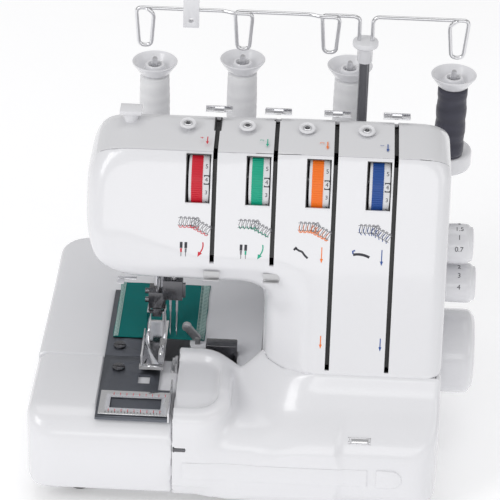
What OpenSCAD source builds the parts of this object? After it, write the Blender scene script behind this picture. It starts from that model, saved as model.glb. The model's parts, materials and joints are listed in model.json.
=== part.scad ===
// Four-thread serger overlock machine, millimetres, +Z up.
// Origin: on the table plane, at the middle of the machine's footprint.
// +X is to the operator's right, +Y is away from the operator.

/* [Body] */
// Distance from the middle to the left side of the bed
bed_left = 166; // [140:1:200]
// Distance from the middle to the right side of the column
body_right = 139; // [125:1:160]
// Height of the sewing bed
bed_top = 80; // [76:1:96]
// How far the front bulges ahead of the middle
front_reach = 134; // [128:1:150]
// How far the back of the base lies behind the middle
base_back = 130; // [120:1:145]
// Depth of the back wall behind the column
column_back = 88; // [86:1:92]
// Height of the lower rim of the covers
skirt_z = 14; // [12:1:16]
// Thickness of the plastic walls
wall = 3; // [2:0.2:4]
// Left end of the arm
arm_left = 134; // [125:1:150]
// Height of the underside of the arm
arm_bottom = 162; // [156:1:172]
// Height of the roof crest
roof_top = 270; // [264:1:285]
// X of the right side wall of the throat
throat_x = 5; // [0:1:12]
// X of the left edge of the column front
column_x = 38; // [34:1:42]

/* [Front panel] */
// Spacing of the four thread slots
slot_pitch = 44; // [42:1:46]
// X of the first thread slot
slot_first = -34; // [-36:1:-32]
// Width of a thread slot
slot_w = 3.3; // [2.4:0.1:4]
// Width of a tension window
window_w = 18; // [16:0.5:18.5]
// Length of a tension window
window_l = 37; // [34:0.5:39]
// Radius of a tension dial
dial_r = 28; // [26:0.5:28.5]
// Width of a tension dial
dial_w = 15; // [12:0.5:15.5]

/* [Drive] */
// Radius of the handwheel
wheel_r = 33; // [28:0.5:34]
// Distance from the middle to the outer face of the handwheel
wheel_end = 168; // [160:1:190]
// Radius of the main shaft
shaft_r = 5; // [4:0.1:6]
// Running clearance of shafts and pins, on the radius
run_gap = 0.05; // [0.02:0.01:0.1]
// Radius of the stitch length and differential dials
knob_r = 15.5; // [14:0.5:16]

/* [Sewing head] */
// X of the needle bar
needle_x = -65; // [-67:0.5:-63]
// Y of the needle bar
needle_y = -20; // [-22:0.5:-18]
// Radius of the needle bar
bar_r = 3.6; // [3:0.1:4]
// X of the presser bar
presser_x = -78; // [-79:0.5:-77]
// Y of the presser bar
presser_y = -3; // [-4:0.5:-2]

/* [Thread stand] */
// Height of the spool tray top
tray_top = 189; // [184:1:194]
// Thickness of the spool tray
tray_t = 15; // [12:1:17]
// Radius of a spool cap
cap_r = 17.8; // [15:0.1:20]
// Radius of a thread spool
spool_r = 12; // [10:0.5:14]
// Height of a thread spool
spool_h = 60; // [50:1:64]
// X of the telescopic mast
mast_x = 73; // [70:1:76]
// Height of the thread guide wires
wire_z = 317; // [312:1:328]
// Radius of the guide wire
wire_r = 1.6; // [1.2:0.1:2]

/* [Hidden] */
$fn = 64;
eps = 0.01;
gap = 0.3;
E = [-39.5, roof_top - 7.4];
B1 = [-71, 184];
B2 = [-97.6, 109.3];
panel_t = 3;
seam_z = B2[1];
panel_len = norm(B1 - E);
panel_dir = (B1 - E) / panel_len;
panel_out = [panel_dir[1], -panel_dir[0]];
panel_tilt = atan2(-panel_dir[0], -panel_dir[1]);
window_mid = E + 21.5 * panel_dir;
dial_depth = 25.3;
dial_c = window_mid - dial_depth * panel_out;
slot_xs = [for (i = [0:3]) slot_first + i * slot_pitch];
pan_z = 4;
shaft_y = 6;
shaft_z = bed_top - 14;
wheel_w = 29;
mast_y = 79;
tray_back = front_reach;
spool_spots = [[-89.4, 102.4], [-21.4, 112], [62.4, 109], [143.1, 101]];
latch_y = -128;
latch_z = 59;
latch_r = 5;
loop_xs = [-95, -20, 46, 143];
loop_r = 5;
loop_h = 27;
looper_x = -42;
looper_y = -21;
looper_z = 49;
lifter_x = -88;
lifter_y = 74;
lifter_z = arm_bottom - 7;
motor_y = 60;
motor_z = 150;
pulley_small = 8;
belt_r1 = 24.3;
belt_r2 = pulley_small + gap;
bed_seam = -43;
cover_left = -58;
plate_left = -116;
plate_t = 2;
hinge_y = -118;
hinge_z = 24;
inner_z = bed_top - wall;
guard_x = -15;
guard_y = -27.5;
shelf_y = -49.3;
shelf_z = bed_top - 2;
inner_front = -84;
hinge_r = 2.5;

// ---------- shared shapes ----------

// Points of an arc in a plane, from angle a0 to a1.
function arc(c, r, a0, a1, n = 6) =
  [for (i = [0:n]) c + r * [cos(a0 + (a1 - a0) * i / n), sin(a0 + (a1 - a0) * i / n)]];

// A box given by two opposite corners.
module span(a, b) {
  translate(a) cube(b - a);
}

// A side profile in Y and Z, drawn out from x0 to x1.
module along_x(x0, x1, pts) {
  translate([x0, 0, 0]) rotate([90, 0, 90]) linear_extrude(x1 - x0) polygon(pts);
}

// A cylinder that lies along X, starting at x0.
module rod_x(x0, x1, y, z, r) {
  translate([x0, y, z]) rotate([0, 90, 0]) cylinder(r = r, h = x1 - x0);
}

// A flat outline with rounded corners, from x0,y0 to x1,y1.
module round_rect(x0, y0, x1, y1, r) {
  translate([x0 + r, y0]) square([x1 - x0 - 2 * r, y1 - y0]);
  translate([x0, y0 + r]) square([x1 - x0, y1 - y0 - 2 * r]);
  for (x = [x0 + r, x1 - r], y = [y0 + r, y1 - r]) translate([x, y]) circle(r);
}

// ---------- side profiles ----------

// Arm and roof section; the lip under the panel turns in to the underside.
function arm_profile(t) = [
  [E[0] + t, E[1] - t], [4.5, roof_top - t], [30 - t, roof_top - 18 - t],
  [60 - t, roof_top - 43 - t], [78 - t, tray_top + 11 - t], [column_back - t, tray_top - t],
  [column_back - t, arm_bottom + t], [-62 + t, arm_bottom + t], [B1[0] + 4 + t, B1[1] - 8 + t],
  [B1[0] + 1.1 * t, B1[1]]];

// Column section down to the skirt.
function column_profile(t) = [
  [E[0] + t, E[1] - t], [4.5, roof_top - t], [30 - t, roof_top - 18 - t],
  [60 - t, roof_top - 43 - t], [78 - t, tray_top + 11 - t], [column_back - t, tray_top - t],
  [column_back - t, skirt_z - t], [inner_front + t, skirt_z - t], [inner_front + t, seam_z - 10 + t],
  [B2[0] + 1.1 * t, seam_z + t]];

// Looper cover section, from the seam down over the bulge to the skirt.
function cover_profile() = concat(
  [[B2[0], seam_z - gap], [-112, 97]],
  arc([-front_reach + 26, 56], 26, 120, 180, 5),
  [[-front_reach + 1, 34], [-126, skirt_z], [inner_front - gap, skirt_z], [inner_front - gap, seam_z - 12]]);

// The space inside the looper cover, open to the back.
function cover_space() = concat(
  [[B2[0], seam_z + 20], [B2[0], seam_z - 4.6], [-110.6, 93]],
  arc([-front_reach + 26, 56], 26 - wall, 120, 180, 5),
  [[-front_reach + 1 + wall, 34], [-126 + wall, skirt_z - 1], [-70, skirt_z - 1], [-70, seam_z + 20]]);

// Front bed cover section.
function bed_profile(t) = concat(
  [[bed_seam, skirt_z - t / 100], [bed_seam, bed_top - t]],
  arc([-front_reach + 28, bed_top - 28], 28 - t, 90, 180, 6),
  [[-126 + t, skirt_z - t / 100]]);

// Vertical block with the plan outline of the whole base.
module base_outline(inset, z0, z1) {
  translate([0, 0, z0]) linear_extrude(z1 - z0)
    round_rect(-bed_left + inset, -front_reach + inset, body_right - inset,
      base_back - inset, 24 - inset);
}

// Cuts away the diagonal between the throat wall and the column front.
module blend_cut(inset) {
  run = column_x - throat_x;
  n = [-0.692, -0.680, 0.241];
  translate([column_x, B2[0], seam_z] - inset * n)
    rotate([0, -asin(n[2]), 180 + atan2(-n[1], -n[0])])
      translate([0, -run * 6, -run * 6]) cube([run * 6, run * 12, run * 12]);
}

// ---------- base and bed ----------

module base_pan() {
  color("whitesmoke") difference() {
    base_outline(8, pan_z, skirt_z - gap);
    base_outline(8 + wall, pan_z + wall, skirt_z + 1);
    span([-bed_left, -front_reach, 0], [body_right, -104, skirt_z + 1]);
  }
}

module rubber_feet() {
  color("dimgray") for (x = [-bed_left + 36, body_right - 36], y = [-front_reach + 36, base_back - 36])
    translate([x, y, 0]) cylinder(r = 10, h = pan_z);
}

module chassis_frame() {
  color("silver") difference() {
    union() {
      span([-105, -70, pan_z + wall], [125, 80, 26]);
      for (x = [12, 66, 118]) span([x, -14, 26 - eps], [x + 9, 26, shaft_z + 9]);
      span([104, 28, 26 - eps], [114, 60, 214]);
      span([-92, 12, 206], [104 + eps, 40, 214]);
      span([-92, -32, 198], [-54, 12 + eps, 214]);
      for (x = [-90, 40]) span([x, 12, 194], [x + 6, 22, 206 + eps]);
      span([61, 40, 26 - eps], [66, 80, motor_z + 24]);
      for (x = [looper_x - 8, looper_x + 10]) span([x - 4, -30, 26 - eps], [x, -14, 56]);
      span([-26, -38, 26 - eps], [-16, -28, 56]);
      span([-66, -58, 26 - eps], [-61.7, -44, 50]);
      span([-112, -60, 26 - 6], [-102, 40, bed_top - plate_t - gap]);
      span([-98, -34, 26 - 6], [-88, 4, bed_top - plate_t - gap]);
      for (x = [cover_left + wall + 5 + gap, body_right - wall - 5 - gap - 8])
        span([x, hinge_y - 3, hinge_z - 2.8], [x + 8, -60, hinge_z + 6]);
      rod_x(cover_left + 0.5, cover_left + wall + 8, hinge_y, hinge_z, hinge_r);
      rod_x(body_right - wall - 8, body_right - 0.5, hinge_y, hinge_z, hinge_r);
      span([36, 8, 210], [44, 26, 226]);
    }
    rod_x(0, 140, shaft_y, shaft_z, shaft_r + run_gap);
    translate([needle_x, needle_y, 150]) cylinder(r = bar_r + run_gap, h = 100);
    translate([presser_x, presser_y, 150]) cylinder(r = bar_r + run_gap, h = 100);
    rod_x(-120, 80, 17, 200, 2.15 + run_gap);
    rod_x(55, 72, motor_y, motor_z, 12 + run_gap);
  }
  color("silver") rod_x(looper_x - 8 - eps, looper_x + 6 + eps, looper_y, looper_z, 2);
}

module bed_rear_cover() {
  color("white") difference() {
    intersection() {
      base_outline(0, skirt_z, bed_top);
      union() {
        span([-bed_left, bed_seam + gap, 0], [throat_x - gap, base_back, bed_top]);
        span([throat_x - 2, column_back + gap, 0], [body_right, base_back, bed_top]);
        span([guard_x + gap, shelf_y + gap, bed_top - wall], [throat_x - gap, bed_seam + 1, bed_top]);
      }
    }
    difference() {
      base_outline(wall, 0, inner_z);
      span([throat_x - wall - gap, 0, 0], [body_right, column_back + wall + gap, bed_top]);
    }
    span([-20, -60, 0], [guard_x + gap, guard_y + gap, bed_top + 1]);
    span([plate_left - gap, -60, inner_z - 1], [-73, 50, bed_top + 1]);
    span([throat_x - wall - 2, -60, 0], [throat_x + 1, column_back - wall, 26 + gap]);
    span([-104, -60, 20], [-52, 12, bed_top + 1]);
    span([-53, -60, 20], [-20, guard_y + gap, bed_top + 1]);
    span([-53, -60, 20], [-38, -12, bed_top + 1]);
    span([-60, -60, 0], [throat_x + 1, 20, 26 + gap]);
    translate([throat_x + 36 - gap, base_back - 14, 29 - gap]) cube([32 + 2 * gap, 20, 22 + 2 * gap]);
    translate([throat_x + 86 - gap, base_back - 14, 31 - 0.9]) cube([18 + 2 * gap, 20, 12 + 1.8]);
  }
}

module bed_front_cover() {
  color("white") {
    difference() {
      intersection() {
        along_x(-bed_left, cover_left - gap, bed_profile(0));
        base_outline(0, 0, bed_top + 1);
      }
      intersection() {
        along_x(-bed_left, cover_left + 1, bed_profile(wall));
        base_outline(wall, -1, bed_top + 1);
      }
      span([-bed_left, bed_seam - 1, 0], [cover_left, bed_seam + 1, inner_z]);
      span([plate_left - gap, -124 - gap, inner_z - 2], [cover_left + 1, bed_seam + 1, bed_top + 1]);
    }
    difference() {
      for (i = [0:4]) translate([-bed_left - 2, -112 + i, 28 + i * 10])
        cube([3, 14, 6]);
      span([-bed_left + 1, -140, 0], [-bed_left + 9, 0, 100]);
    }
  }
}

module needle_plate() {
  color("slategray") difference() {
    span([plate_left, bed_seam, bed_top - plate_t], [-74, 50 - gap, bed_top]);
    span([-86, bed_seam + 6, bed_top - 4], [-80, 6, bed_top + 1]);
    translate([-105.8, -29, bed_top - 4]) cylinder(r = 2.2, h = 8);
  }
}

module front_plate() {
  color("slategray") difference() {
    span([plate_left, -124, bed_top - plate_t], [-61, bed_seam - gap, bed_top]);
    span([-72, -86, bed_top - 4], [-60, -30, bed_top + 1]);
    span([-88, -78, bed_top - 4], [-79, -67, bed_top + 1]);
    translate([-104, -58.5, bed_top - 4]) cylinder(r = 2.2, h = 8);
  }
}

module plate_screw(x, y) {
  translate([x, y, 0]) difference() {
    union() {
      translate([0, 0, bed_top + 0.02]) cylinder(r = 4.7, h = 1.2);
      translate([0, 0, bed_top - plate_t - gap]) cylinder(r = 2.1, h = plate_t + gap + 1);
    }
    span([-5, -0.6, bed_top + 0.7], [5, 0.6, bed_top + 3]);
  }
}

module plate_screws() {
  color("dimgray") {
    plate_screw(-105.8, -29);
    plate_screw(-104, -58.5);
  }
}

// ---------- looper cover ----------

// The raised rounded housing on top of the looper cover.
module snail(inset, z0, z1) {
  translate([0, 0, z0]) linear_extrude(z1 - z0) difference() {
    round_rect(cover_left + inset - 40, -126 + inset, -16 - inset, -41 - inset, 26 - inset);
    translate([cover_left + inset - 50, -140]) square([50, 120]);
  }
}

module looper_cover() {
  color("white") difference() {
    union() {
      difference() {
        intersection() {
          along_x(cover_left, body_right, cover_profile());
          base_outline(0, 0, seam_z + 1);
        }
        intersection() {
          along_x(cover_left + wall, body_right - wall, cover_space());
          base_outline(wall, -1, seam_z + 2);
        }
        span([cover_left - 1, -150, shelf_z], [throat_x - 1, -60, seam_z + 5]);
      }
      intersection() {
        along_x(throat_x - 1, throat_x + 2, cover_profile());
        span([throat_x - 2, -150, shelf_z - wall], [throat_x + 3, inner_front, seam_z + 5]);
      }
      span([-16.5, -124, shelf_z - wall], [throat_x - 0.4, shelf_y, shelf_z]);
      snail(0, bed_top - 26, 92);
      for (x = [cover_left + wall - eps, body_right - wall - 5]) rod_x(x, x + 5 + eps, hinge_y, hinge_z, 6);
    }
    snail(wall, bed_top - 27, 92 - wall);
    snail(11, 92 - 1.2, 96);
    translate([72, -140, 76]) cube([17, 16, 5]);
    span([cover_left - 1, -140, latch_z - latch_r - gap], [cover_left + 14, latch_y + 6, latch_z + latch_r + gap]);
    rod_x(cover_left - 1, body_right + 1, hinge_y, hinge_z, hinge_r + run_gap);
    span([cover_left - 1, inner_front - 1.8, skirt_z - 1], [body_right + 1, inner_front, hinge_z - 3.4]);
  }
}

module cover_latch() {
  color("dimgray") rod_x(cover_left + 0.5, cover_left + 10.5, latch_y, latch_z, latch_r);
}

// ---------- arm, column and front panel ----------

// Front view outline of the arm end, rounded at top and bottom left.
module arm_end_outline(inset) {
  rotate([90, 0, 0]) translate([0, 0, -base_back]) linear_extrude(base_back + front_reach)
    round_rect(-arm_left + inset, -60, body_right - inset, roof_top + 1 - inset, 26 - inset);
}

// Lower left corner of the arm end, seen from the front.
module arm_corner_cut() {
  r = 34;
  translate([-arm_left, 0, arm_bottom]) rotate([90, 0, 0])
    translate([0, 0, -base_back]) linear_extrude(base_back + front_reach) difference() {
      translate([-5, -5]) square([r + 5, r + 5]);
      translate([r, r]) circle(r);
    }
}

module body_solid(inset) {
  intersection() {
    union() {
      along_x(-arm_left + inset, body_right - inset, arm_profile(inset));
      difference() {
        along_x(throat_x + inset, body_right - inset, column_profile(inset));
        blend_cut(inset);
      }
    }
    arm_end_outline(inset);
  }
}

// The front band of the shell that the panel takes up.
module panel_region(t) {
  along_x(-arm_left + 8, body_right - 5,
    [E + [-6, 0], E + [4.6, 0], B1 - t * panel_out, B2 - t * panel_out + [1, 1], B2 + [-6, 0]]);
}

// The four thread slots, cut down the panel and back over the roof.
module slot_cuts(w, depth) {
  for (i = [0:3]) let (last = i < 2 ? B1 : B2) along_x(slot_xs[i] - w / 2, slot_xs[i] + w / 2,
    concat([[25, roof_top + 6], [25, roof_top - 14 - depth], [4.5, roof_top - depth], E + [depth, -depth]],
      i < 2 ? [] : [B1 - depth * panel_out],
      [last - depth * panel_out + [0, i < 2 ? 1 : 3], last + [-8, i < 2 ? 1 : 3], E + [-8, 8]]));
}

// The four windows over the tension dials.
module window_cuts(grow) {
  for (x = slot_xs) translate([x - 3 - window_w / 2, window_mid[0], window_mid[1]])
    rotate([panel_tilt, 0, 0])
      cube([window_w + 2 * grow, 30, window_l + 2 * grow], center = true);
}

module arm_housing() {
  color("white") {
    for (x = [lifter_x - 9, lifter_x + 5 + gap]) span([x, lifter_y - 5, lifter_z - 5],
      [x + 4 - gap, lifter_y + 5, arm_bottom + eps]);
    rod_x(lifter_x - 6, lifter_x + 6, lifter_y, lifter_z, 2.5);
  }
  color("white") difference() {
    body_solid(0);
    body_solid(wall);
    arm_corner_cut();
    panel_region(panel_t + 1.4);
    along_x(-arm_left + 12, body_right - 8, [E + [-1, 0.2], [4.6, roof_top + 3],
      [25, roof_top + 3], [25, roof_top - 22], [0, roof_top - 7], E + [4, -3.4]]);
    translate([needle_x, needle_y, arm_bottom - 5]) cylinder(r = bar_r + 1, h = 20);
    translate([presser_x, presser_y, arm_bottom - 5]) cylinder(r = bar_r + 1, h = 20);
    span([column_x + 6, -72, 174], [body_right - 8, -60, 186]);
    span([body_right - wall - 15, -86, hinge_z - 4], [body_right - wall - 3, -80, hinge_z + 7]);
    span([throat_x - 1, -76, 0], [throat_x + wall + 1, column_back - wall, 26 + gap]);
    rod_x(body_right - 10, body_right + 5, shaft_y, shaft_z, shaft_r + 1);
    rod_x(body_right - 10, body_right + 5, 0, 133, 4 + run_gap);
    rod_x(body_right - 10, body_right + 5, 0, 168, 4 + run_gap);
    translate([mast_x, mast_y, 180]) cylinder(r = 5.6, h = 60);
    translate([-58, column_back - 10, 186]) cube([14, 20, 20]);
  }
}

module front_panel() {
  color("white") difference() {
    intersection() {
      along_x(-arm_left + 8 + gap, body_right - 5 - gap,
        [E + [0.2, -0.4], B1, B2 + [0, gap], B2 + [panel_t, gap + 1], B1 - panel_t * panel_out,
         E + [2.6, -2.4]]);
      union() {
        arm_end_outline(6);
        span([-20, -front_reach, 0], [body_right, 0, roof_top]);
      }
    }
    difference() {
      span([-arm_left, -front_reach, 0], [column_x + gap, 0, B1[1] + 1]);
    }
    difference() {
      span([-arm_left, -front_reach, 100], [-arm_left + 42, 0, B1[1] + 34]);
      translate([-arm_left + 42, 0, B1[1] + 34]) rotate([90, 0, 0]) cylinder(r = 34, h = front_reach);
    }
    slot_cuts(slot_w, 5);
    window_cuts(0);
  }
}

module top_cover() {
  color("white") difference() {
    along_x(-arm_left + 12 + gap, body_right - 8 - gap, [E + [0.2, 0.2], [4.5, roof_top],
      [25 - gap, roof_top - 14.2], [25 - gap, roof_top - 17], [4.2, roof_top - 3], E + [2.8, -2.2]]);
    slot_cuts(slot_w, 5);
    translate([-99, 0, roof_top - 6]) cylinder(r = 5.5, h = 12);
    for (x = slot_xs) translate([x - 22, -10, roof_top - 8]) cylinder(r = 3.6, h = 12);
  }
}

// Panel path of one slot, from the roof edge to 6 mm short of its end, sunk by d.
function panel_path(last, d) = let (up = (last - E) / norm(last - E),
  n = [up[1], -up[0]]) concat(
    [E - d * n - [0, 1.8]],
    last == B1 ? [] : [B1 - (d + gap) * panel_out],
    [last - 6 * up - (d + gap) * n]);
function reversed(p) = [for (i = [len(p) - 1:-1:0]) p[i]];

// One black channel behind a thread slot, with a side flange under the panel.
module slot_liner(x, last) {
  difference() {
    union() {
      along_x(x - slot_w / 2 - 1, x + slot_w / 2 + 1, concat(
        [[20, roof_top - 21], [20, roof_top - 15], [4, roof_top - 3.6]],
        panel_path(last, panel_t + 0.6), reversed(panel_path(last, 9))));
      along_x(x - slot_w / 2 - 1, x + slot_w / 2 + 4,
        concat(panel_path(last, panel_t + 0.6), reversed(panel_path(last, 5))));
    }
    slot_cuts(slot_w, 7.5);
  }
}

module slot_liners() {
  color("black") for (i = [0:3]) slot_liner(slot_xs[i], i < 2 ? B1 : B2);
}

module thread_eyelets() {
  color("white") for (x = slot_xs) translate([x - 22, -10, roof_top - 2.44]) difference() {
    rotate([9.5, 0, 0]) union() {
      translate([0, 0, 0.25]) cylinder(r = 6.2, h = 1.6);
      translate([0, 0, -4]) cylinder(r = 2.8, h = 4.3);
    }
    translate([0, 0, -6]) cylinder(r = 1.5, h = 12);
  }
}

module top_guide_clips() {
  color("silver") for (x = slot_xs) {
    span([x - 10, 4.6, roof_top + 0.05], [x + 10, 9.8, roof_top + 1]);
    span([x - 10, 8.8, roof_top - 1 + 1], [x + 10, 9.8, roof_top + 3.4]);
    span([x + 4, 4.6, roof_top + 0.9], [x + 10, 7, roof_top + 2.2]);
  }
}

// A tension dial: a numbered drum with a ribbed coloured band.
module tension_dial(i, tint) {
  x0 = slot_xs[i] - 3 - window_w / 2 - dial_w / 2 + 0.6;
  color(tint) difference() {
    union() {
      rod_x(x0, x0 + dial_w, dial_c[0], dial_c[1], dial_r - 0.5);
      rod_x(x0 + 0.5, x0 + 9.5, dial_c[0], dial_c[1], dial_r);
    }
    rod_x(x0 - 1, x0 + dial_w + 1, dial_c[0], dial_c[1], 3 + run_gap);
    rod_x(x0 + dial_w - 5, x0 + dial_w + 1, dial_c[0], dial_c[1], dial_r - 5);
  }
}

module dial_spindles() {
  color("silver") {
    for (x = slot_xs) rod_x(x - 23, x - 3.3, dial_c[0], dial_c[1], 3);
    for (x = slot_xs) difference() {
      span([x - 3.3 - eps, dial_c[0] - 8, 214 - 0], [x - 2.8, 36, dial_c[1] + 8]);
      slot_cuts(slot_w + 6, 7.6);
    }
  }
}

// ---------- drive ----------

module handwheel() {
  color("white") difference() {
    union() {
      rod_x(body_right + 1, wheel_end - 3, shaft_y, shaft_z, wheel_r);
      rod_x(wheel_end - 3 - eps, wheel_end, shaft_y, shaft_z, wheel_r - 3);
    }
    rod_x(body_right, wheel_end - 6, shaft_y, shaft_z, wheel_r - 4);
    rod_x(body_right, wheel_end + 1, shaft_y, shaft_z, shaft_r);
  }
  color("white") difference() {
    rod_x(body_right + 6, wheel_end - 6 + eps, shaft_y, shaft_z, 9);
    rod_x(body_right, wheel_end + 1, shaft_y, shaft_z, shaft_r);
  }
}

module main_shaft() {
  color("silver") rod_x(10, wheel_end - 1, shaft_y, shaft_z, shaft_r);
}

module shaft_pulley() {
  color("dimgray") difference() {
    union() {
      rod_x(88, 90, shaft_y, shaft_z, 26);
      rod_x(90 - eps, 98 + eps, shaft_y, shaft_z, 24);
      rod_x(98, 100, shaft_y, shaft_z, 26);
    }
    rod_x(80, 110, shaft_y, shaft_z, shaft_r);
  }
}

// Outline of the belt around the two pulleys.
module belt_loop(grow) {
  hull() {
    translate([shaft_y, shaft_z]) circle(belt_r1 + grow);
    translate([motor_y, motor_z]) circle(belt_r2 + grow);
  }
}

module drive_belt() {
  color("black") translate([91, 0, 0]) rotate([90, 0, 90]) linear_extrude(6) difference() {
    belt_loop(1.6);
    belt_loop(0);
  }
}

module motor() {
  color("gray") difference() {
    union() {
      rod_x(10, 59, motor_y, motor_z, 22);
      rod_x(59 - eps, 72, motor_y, motor_z, 12);
    }
    rod_x(0, 100, motor_y, motor_z, 3 + run_gap);
  }
}

module motor_pulley() {
  color("silver") {
    rod_x(20, 102, motor_y, motor_z, 3);
    rod_x(90, 98, motor_y, motor_z, pulley_small);
  }
}

module side_dial(x1, y, z) {
  rod_x(body_right + 0.6, x1 - 3, y, z, knob_r);
  rod_x(x1 - 3 - eps, x1, y, z, knob_r - 2);
  rod_x(body_right - 9, body_right + 0.7, y, z, 4);
  rod_x(body_right - 9, body_right - wall - gap, y, z, 7);
}

module stitch_length_dial() {
  color("white") side_dial(165, 0, 133);
}

module differential_dial() {
  color("white") side_dial(161, 0, 168);
}

module rock_shaft() {
  color("silver") rod_x(-98, 56, 17, 200, 2.15);
}

// ---------- sewing head ----------

module needle_bar() {
  color("silver") translate([needle_x, needle_y, 139]) cylinder(r = bar_r, h = 96);
}

module needle_clamp() {
  color("dimgray") {
    difference() {
      span([needle_x - 8, needle_y - 6, 122], [needle_x + 7, needle_y + 5, 138.9]);
      for (dx = [-2.4, 2.4]) translate([needle_x + dx, needle_y, 120]) cylinder(r = 1, h = 15);
    }
    span([needle_x + 7 - eps, needle_y - 1, 121.5], [needle_x + 9, needle_y + 1, 134]);
  }
}

module needles() {
  color("silver") for (dx = [-2.4, 2.4]) translate([needle_x + dx, needle_y, 0]) {
    translate([0, 0, 108]) cylinder(r = 0.95, h = 26);
    translate([0, 0, 90]) cylinder(r = 0.6, h = 18 + eps);
    translate([0, 0, 86]) cylinder(r1 = 0.15, r2 = 0.6, h = 4 + eps);
  }
}

module presser_bar() {
  color("silver") translate([presser_x, presser_y, bed_top + 38]) cylinder(r = bar_r, h = 188 - bed_top);
}

module presser_ankle() {
  color("dimgray") {
    span([presser_x - 7, presser_y - 8, bed_top + 24], [presser_x + 6, presser_y + 6, bed_top + 38]);
    span([presser_x - 4, presser_y - 9, bed_top + 17], [presser_x + 3, presser_y + 1, bed_top + 24 + eps]);
    rod_x(presser_x - 6, presser_x + 5, presser_y - 5, bed_top + 19, 1.5);
    for (z = [bed_top + 28, bed_top + 36]) rod_x(presser_x - 10, presser_x - 7 + eps, presser_y - 2, z, 2.2);
  }
}

module presser_foot() {
  color("silver") difference() {
    union() {
      span([presser_x - 8, -62, bed_top + 3], [presser_x + 8, 2, bed_top + 4.6]);
      span([presser_x - 10, -64, bed_top + 3], [presser_x + 9, -60, bed_top + 5.6]);
      for (x = [presser_x - 8, presser_x + 4]) span([x, -14, bed_top + 4], [x + 2.2, -2, bed_top + 22]);
      span([presser_x - 9, -62, bed_top + 3], [presser_x - 8 + eps, -26, bed_top + 15]);
      span([presser_x + 4, -56, bed_top + 4], [presser_x + 8, -34, bed_top + 12]);
    }
    rod_x(presser_x - 12, presser_x + 12, presser_y - 5, bed_top + 19, 1.5 + run_gap);
    span([presser_x + 8.2, -70, bed_top], [presser_x + 20, -30, bed_top + 10]);
  }
}

module lifter_lever() {
  color("white") difference() {
    union() {
      rod_x(lifter_x - 5, lifter_x + 5, lifter_y, lifter_z, 5);
      translate([lifter_x - 5, lifter_y, lifter_z]) rotate([-32, 0, 0]) translate([0, 0, -3]) cube([10, 48, 6]);
    }
    rod_x(lifter_x - 6, lifter_x + 6, lifter_y, lifter_z, 2.5 + run_gap);
  }
}

module upper_looper() {
  color("silver") difference() {
    union() {
      rod_x(looper_x - 7.6, looper_x - 1, looper_y, looper_z, 5);
      span([looper_x - 6, looper_y - 2, looper_z], [looper_x - 2, looper_y + 2, 86]);
      translate([looper_x - 4, looper_y, 84]) rotate([0, -38, 0]) translate([-3, -1.5, 0]) cube([6, 3, 14]);
      translate([looper_x - 4, looper_y, 84]) rotate([0, -38, 0]) translate([0, 1.5, 14]) rotate([90, 0, 0])
        cylinder(r = 3.6, h = 3);
    }
    rod_x(looper_x - 10, looper_x + 10, looper_y, looper_z, 2 + run_gap);
  }
}

module lower_looper() {
  color("silver") difference() {
    union() {
      rod_x(looper_x - 0.6, looper_x + 5.6, looper_y, looper_z, 5);
      span([looper_x + 1, looper_y + 2, looper_z], [looper_x + 4, looper_y + 5, 70]);
      span([looper_x - 18, looper_y + 2, 68], [looper_x + 4, looper_y + 4.4, 71]);
    }
    rod_x(looper_x - 10, looper_x + 10, looper_y, looper_z, 2 + run_gap);
  }
}

module looper_guard() {
  color([0.12, 0.16, 0.19]) span([guard_x - 24, -38, 56 + 0.02], [guard_x, guard_y, 90]);
}

module upper_knife() {
  color("silver") difference() {
    union() {
      span([-61.4, -60, 58], [-59, -48, 86]);
      rod_x(-61.4, -59, -54, 58, 6);
    }
    rod_x(-62, -58, -54, 58, 2 + run_gap);
  }
}

module lower_knife() {
  color("silver") {
    span([-64, -60, 50], [-61.7, -42, bed_top]);
    rod_x(-61.8, -58.8, -54, 58, 2);
  }
}

module feed_dogs() {
  color("silver") {
    span([-85.4, -30, bed_top - 9], [-80.6, 2, bed_top - 0.7]);
    for (i = [0:9]) translate([-85.4, -28 + 3 * i, bed_top - 0.7 - eps]) cube([4.8, 1.6, 0.7]);
  }
}

module seam_guide() {
  color("silver") difference() {
    union() {
      span([-114, -121, bed_top + 0.4], [-60.5, -91, bed_top + 1.6]);
      span([-61.8, -128, bed_top + 0.4], [-60.5, -84, bed_top + 9]);
    }
    span([-106, -113, bed_top - 1], [-68, -99, bed_top + 3]);
  }
}

module arm_thread_guides() {
  color("silver") for (x = [slot_xs[0], slot_xs[1]]) {
    span([x - 6, B1[0] + 1.4, B1[1] - 13], [x + 6, B1[0] + 2.4, B1[1] - 6.6]);
    span([x - 6, B1[0] - 2, B1[1] - 13], [x + 6, B1[0] + 1.4 + eps, B1[1] - 12]);
  }
}

module thread_cutter() {
  color("silver") {
    span([-104, -60, arm_bottom - 1.2], [-90, -57, arm_bottom - 0.02]);
    span([-104, -66, arm_bottom - 1.2], [-99, -60 + eps, arm_bottom - 0.4]);
  }
}

module pressure_screw() {
  color("white") translate([-99, 0, roof_top - 9]) {
    cylinder(r = 5.2, h = 9);
    translate([-8, -7, 9 + gap + 0.6]) cube([16, 13, 3]);
    cylinder(r = 4, h = 10.6);
  }
}

// ---------- thread stand ----------

module spool_stand() {
  color("white") difference() {
    union() {
      translate([0, 0, tray_top - tray_t]) linear_extrude(tray_t) difference() {
        union() {
          translate([-108, column_back + gap]) square([254, tray_back - column_back - gap]);
          translate([spool_spots[3][0], spool_spots[3][1] + 14]) circle(18);
          translate([spool_spots[3][0] - 2, spool_spots[3][1]]) circle(20);
        }
        translate([-200, 0]) square([200 + body_right + 0.6, column_back + gap]);
      }
      span([-60, column_back + gap, tray_top - 40], [body_right - 20, column_back + 6, tray_top - tray_t + eps]);
    }
    for (p = spool_spots) translate([p[0], p[1], tray_top - 8]) cylinder(r = 2.2, h = 20);
  }
}

module spool_pins() {
  color("silver") for (p = spool_spots) translate([p[0], p[1], tray_top - 7]) cylinder(r = 2.15, h = 81);
}

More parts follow.
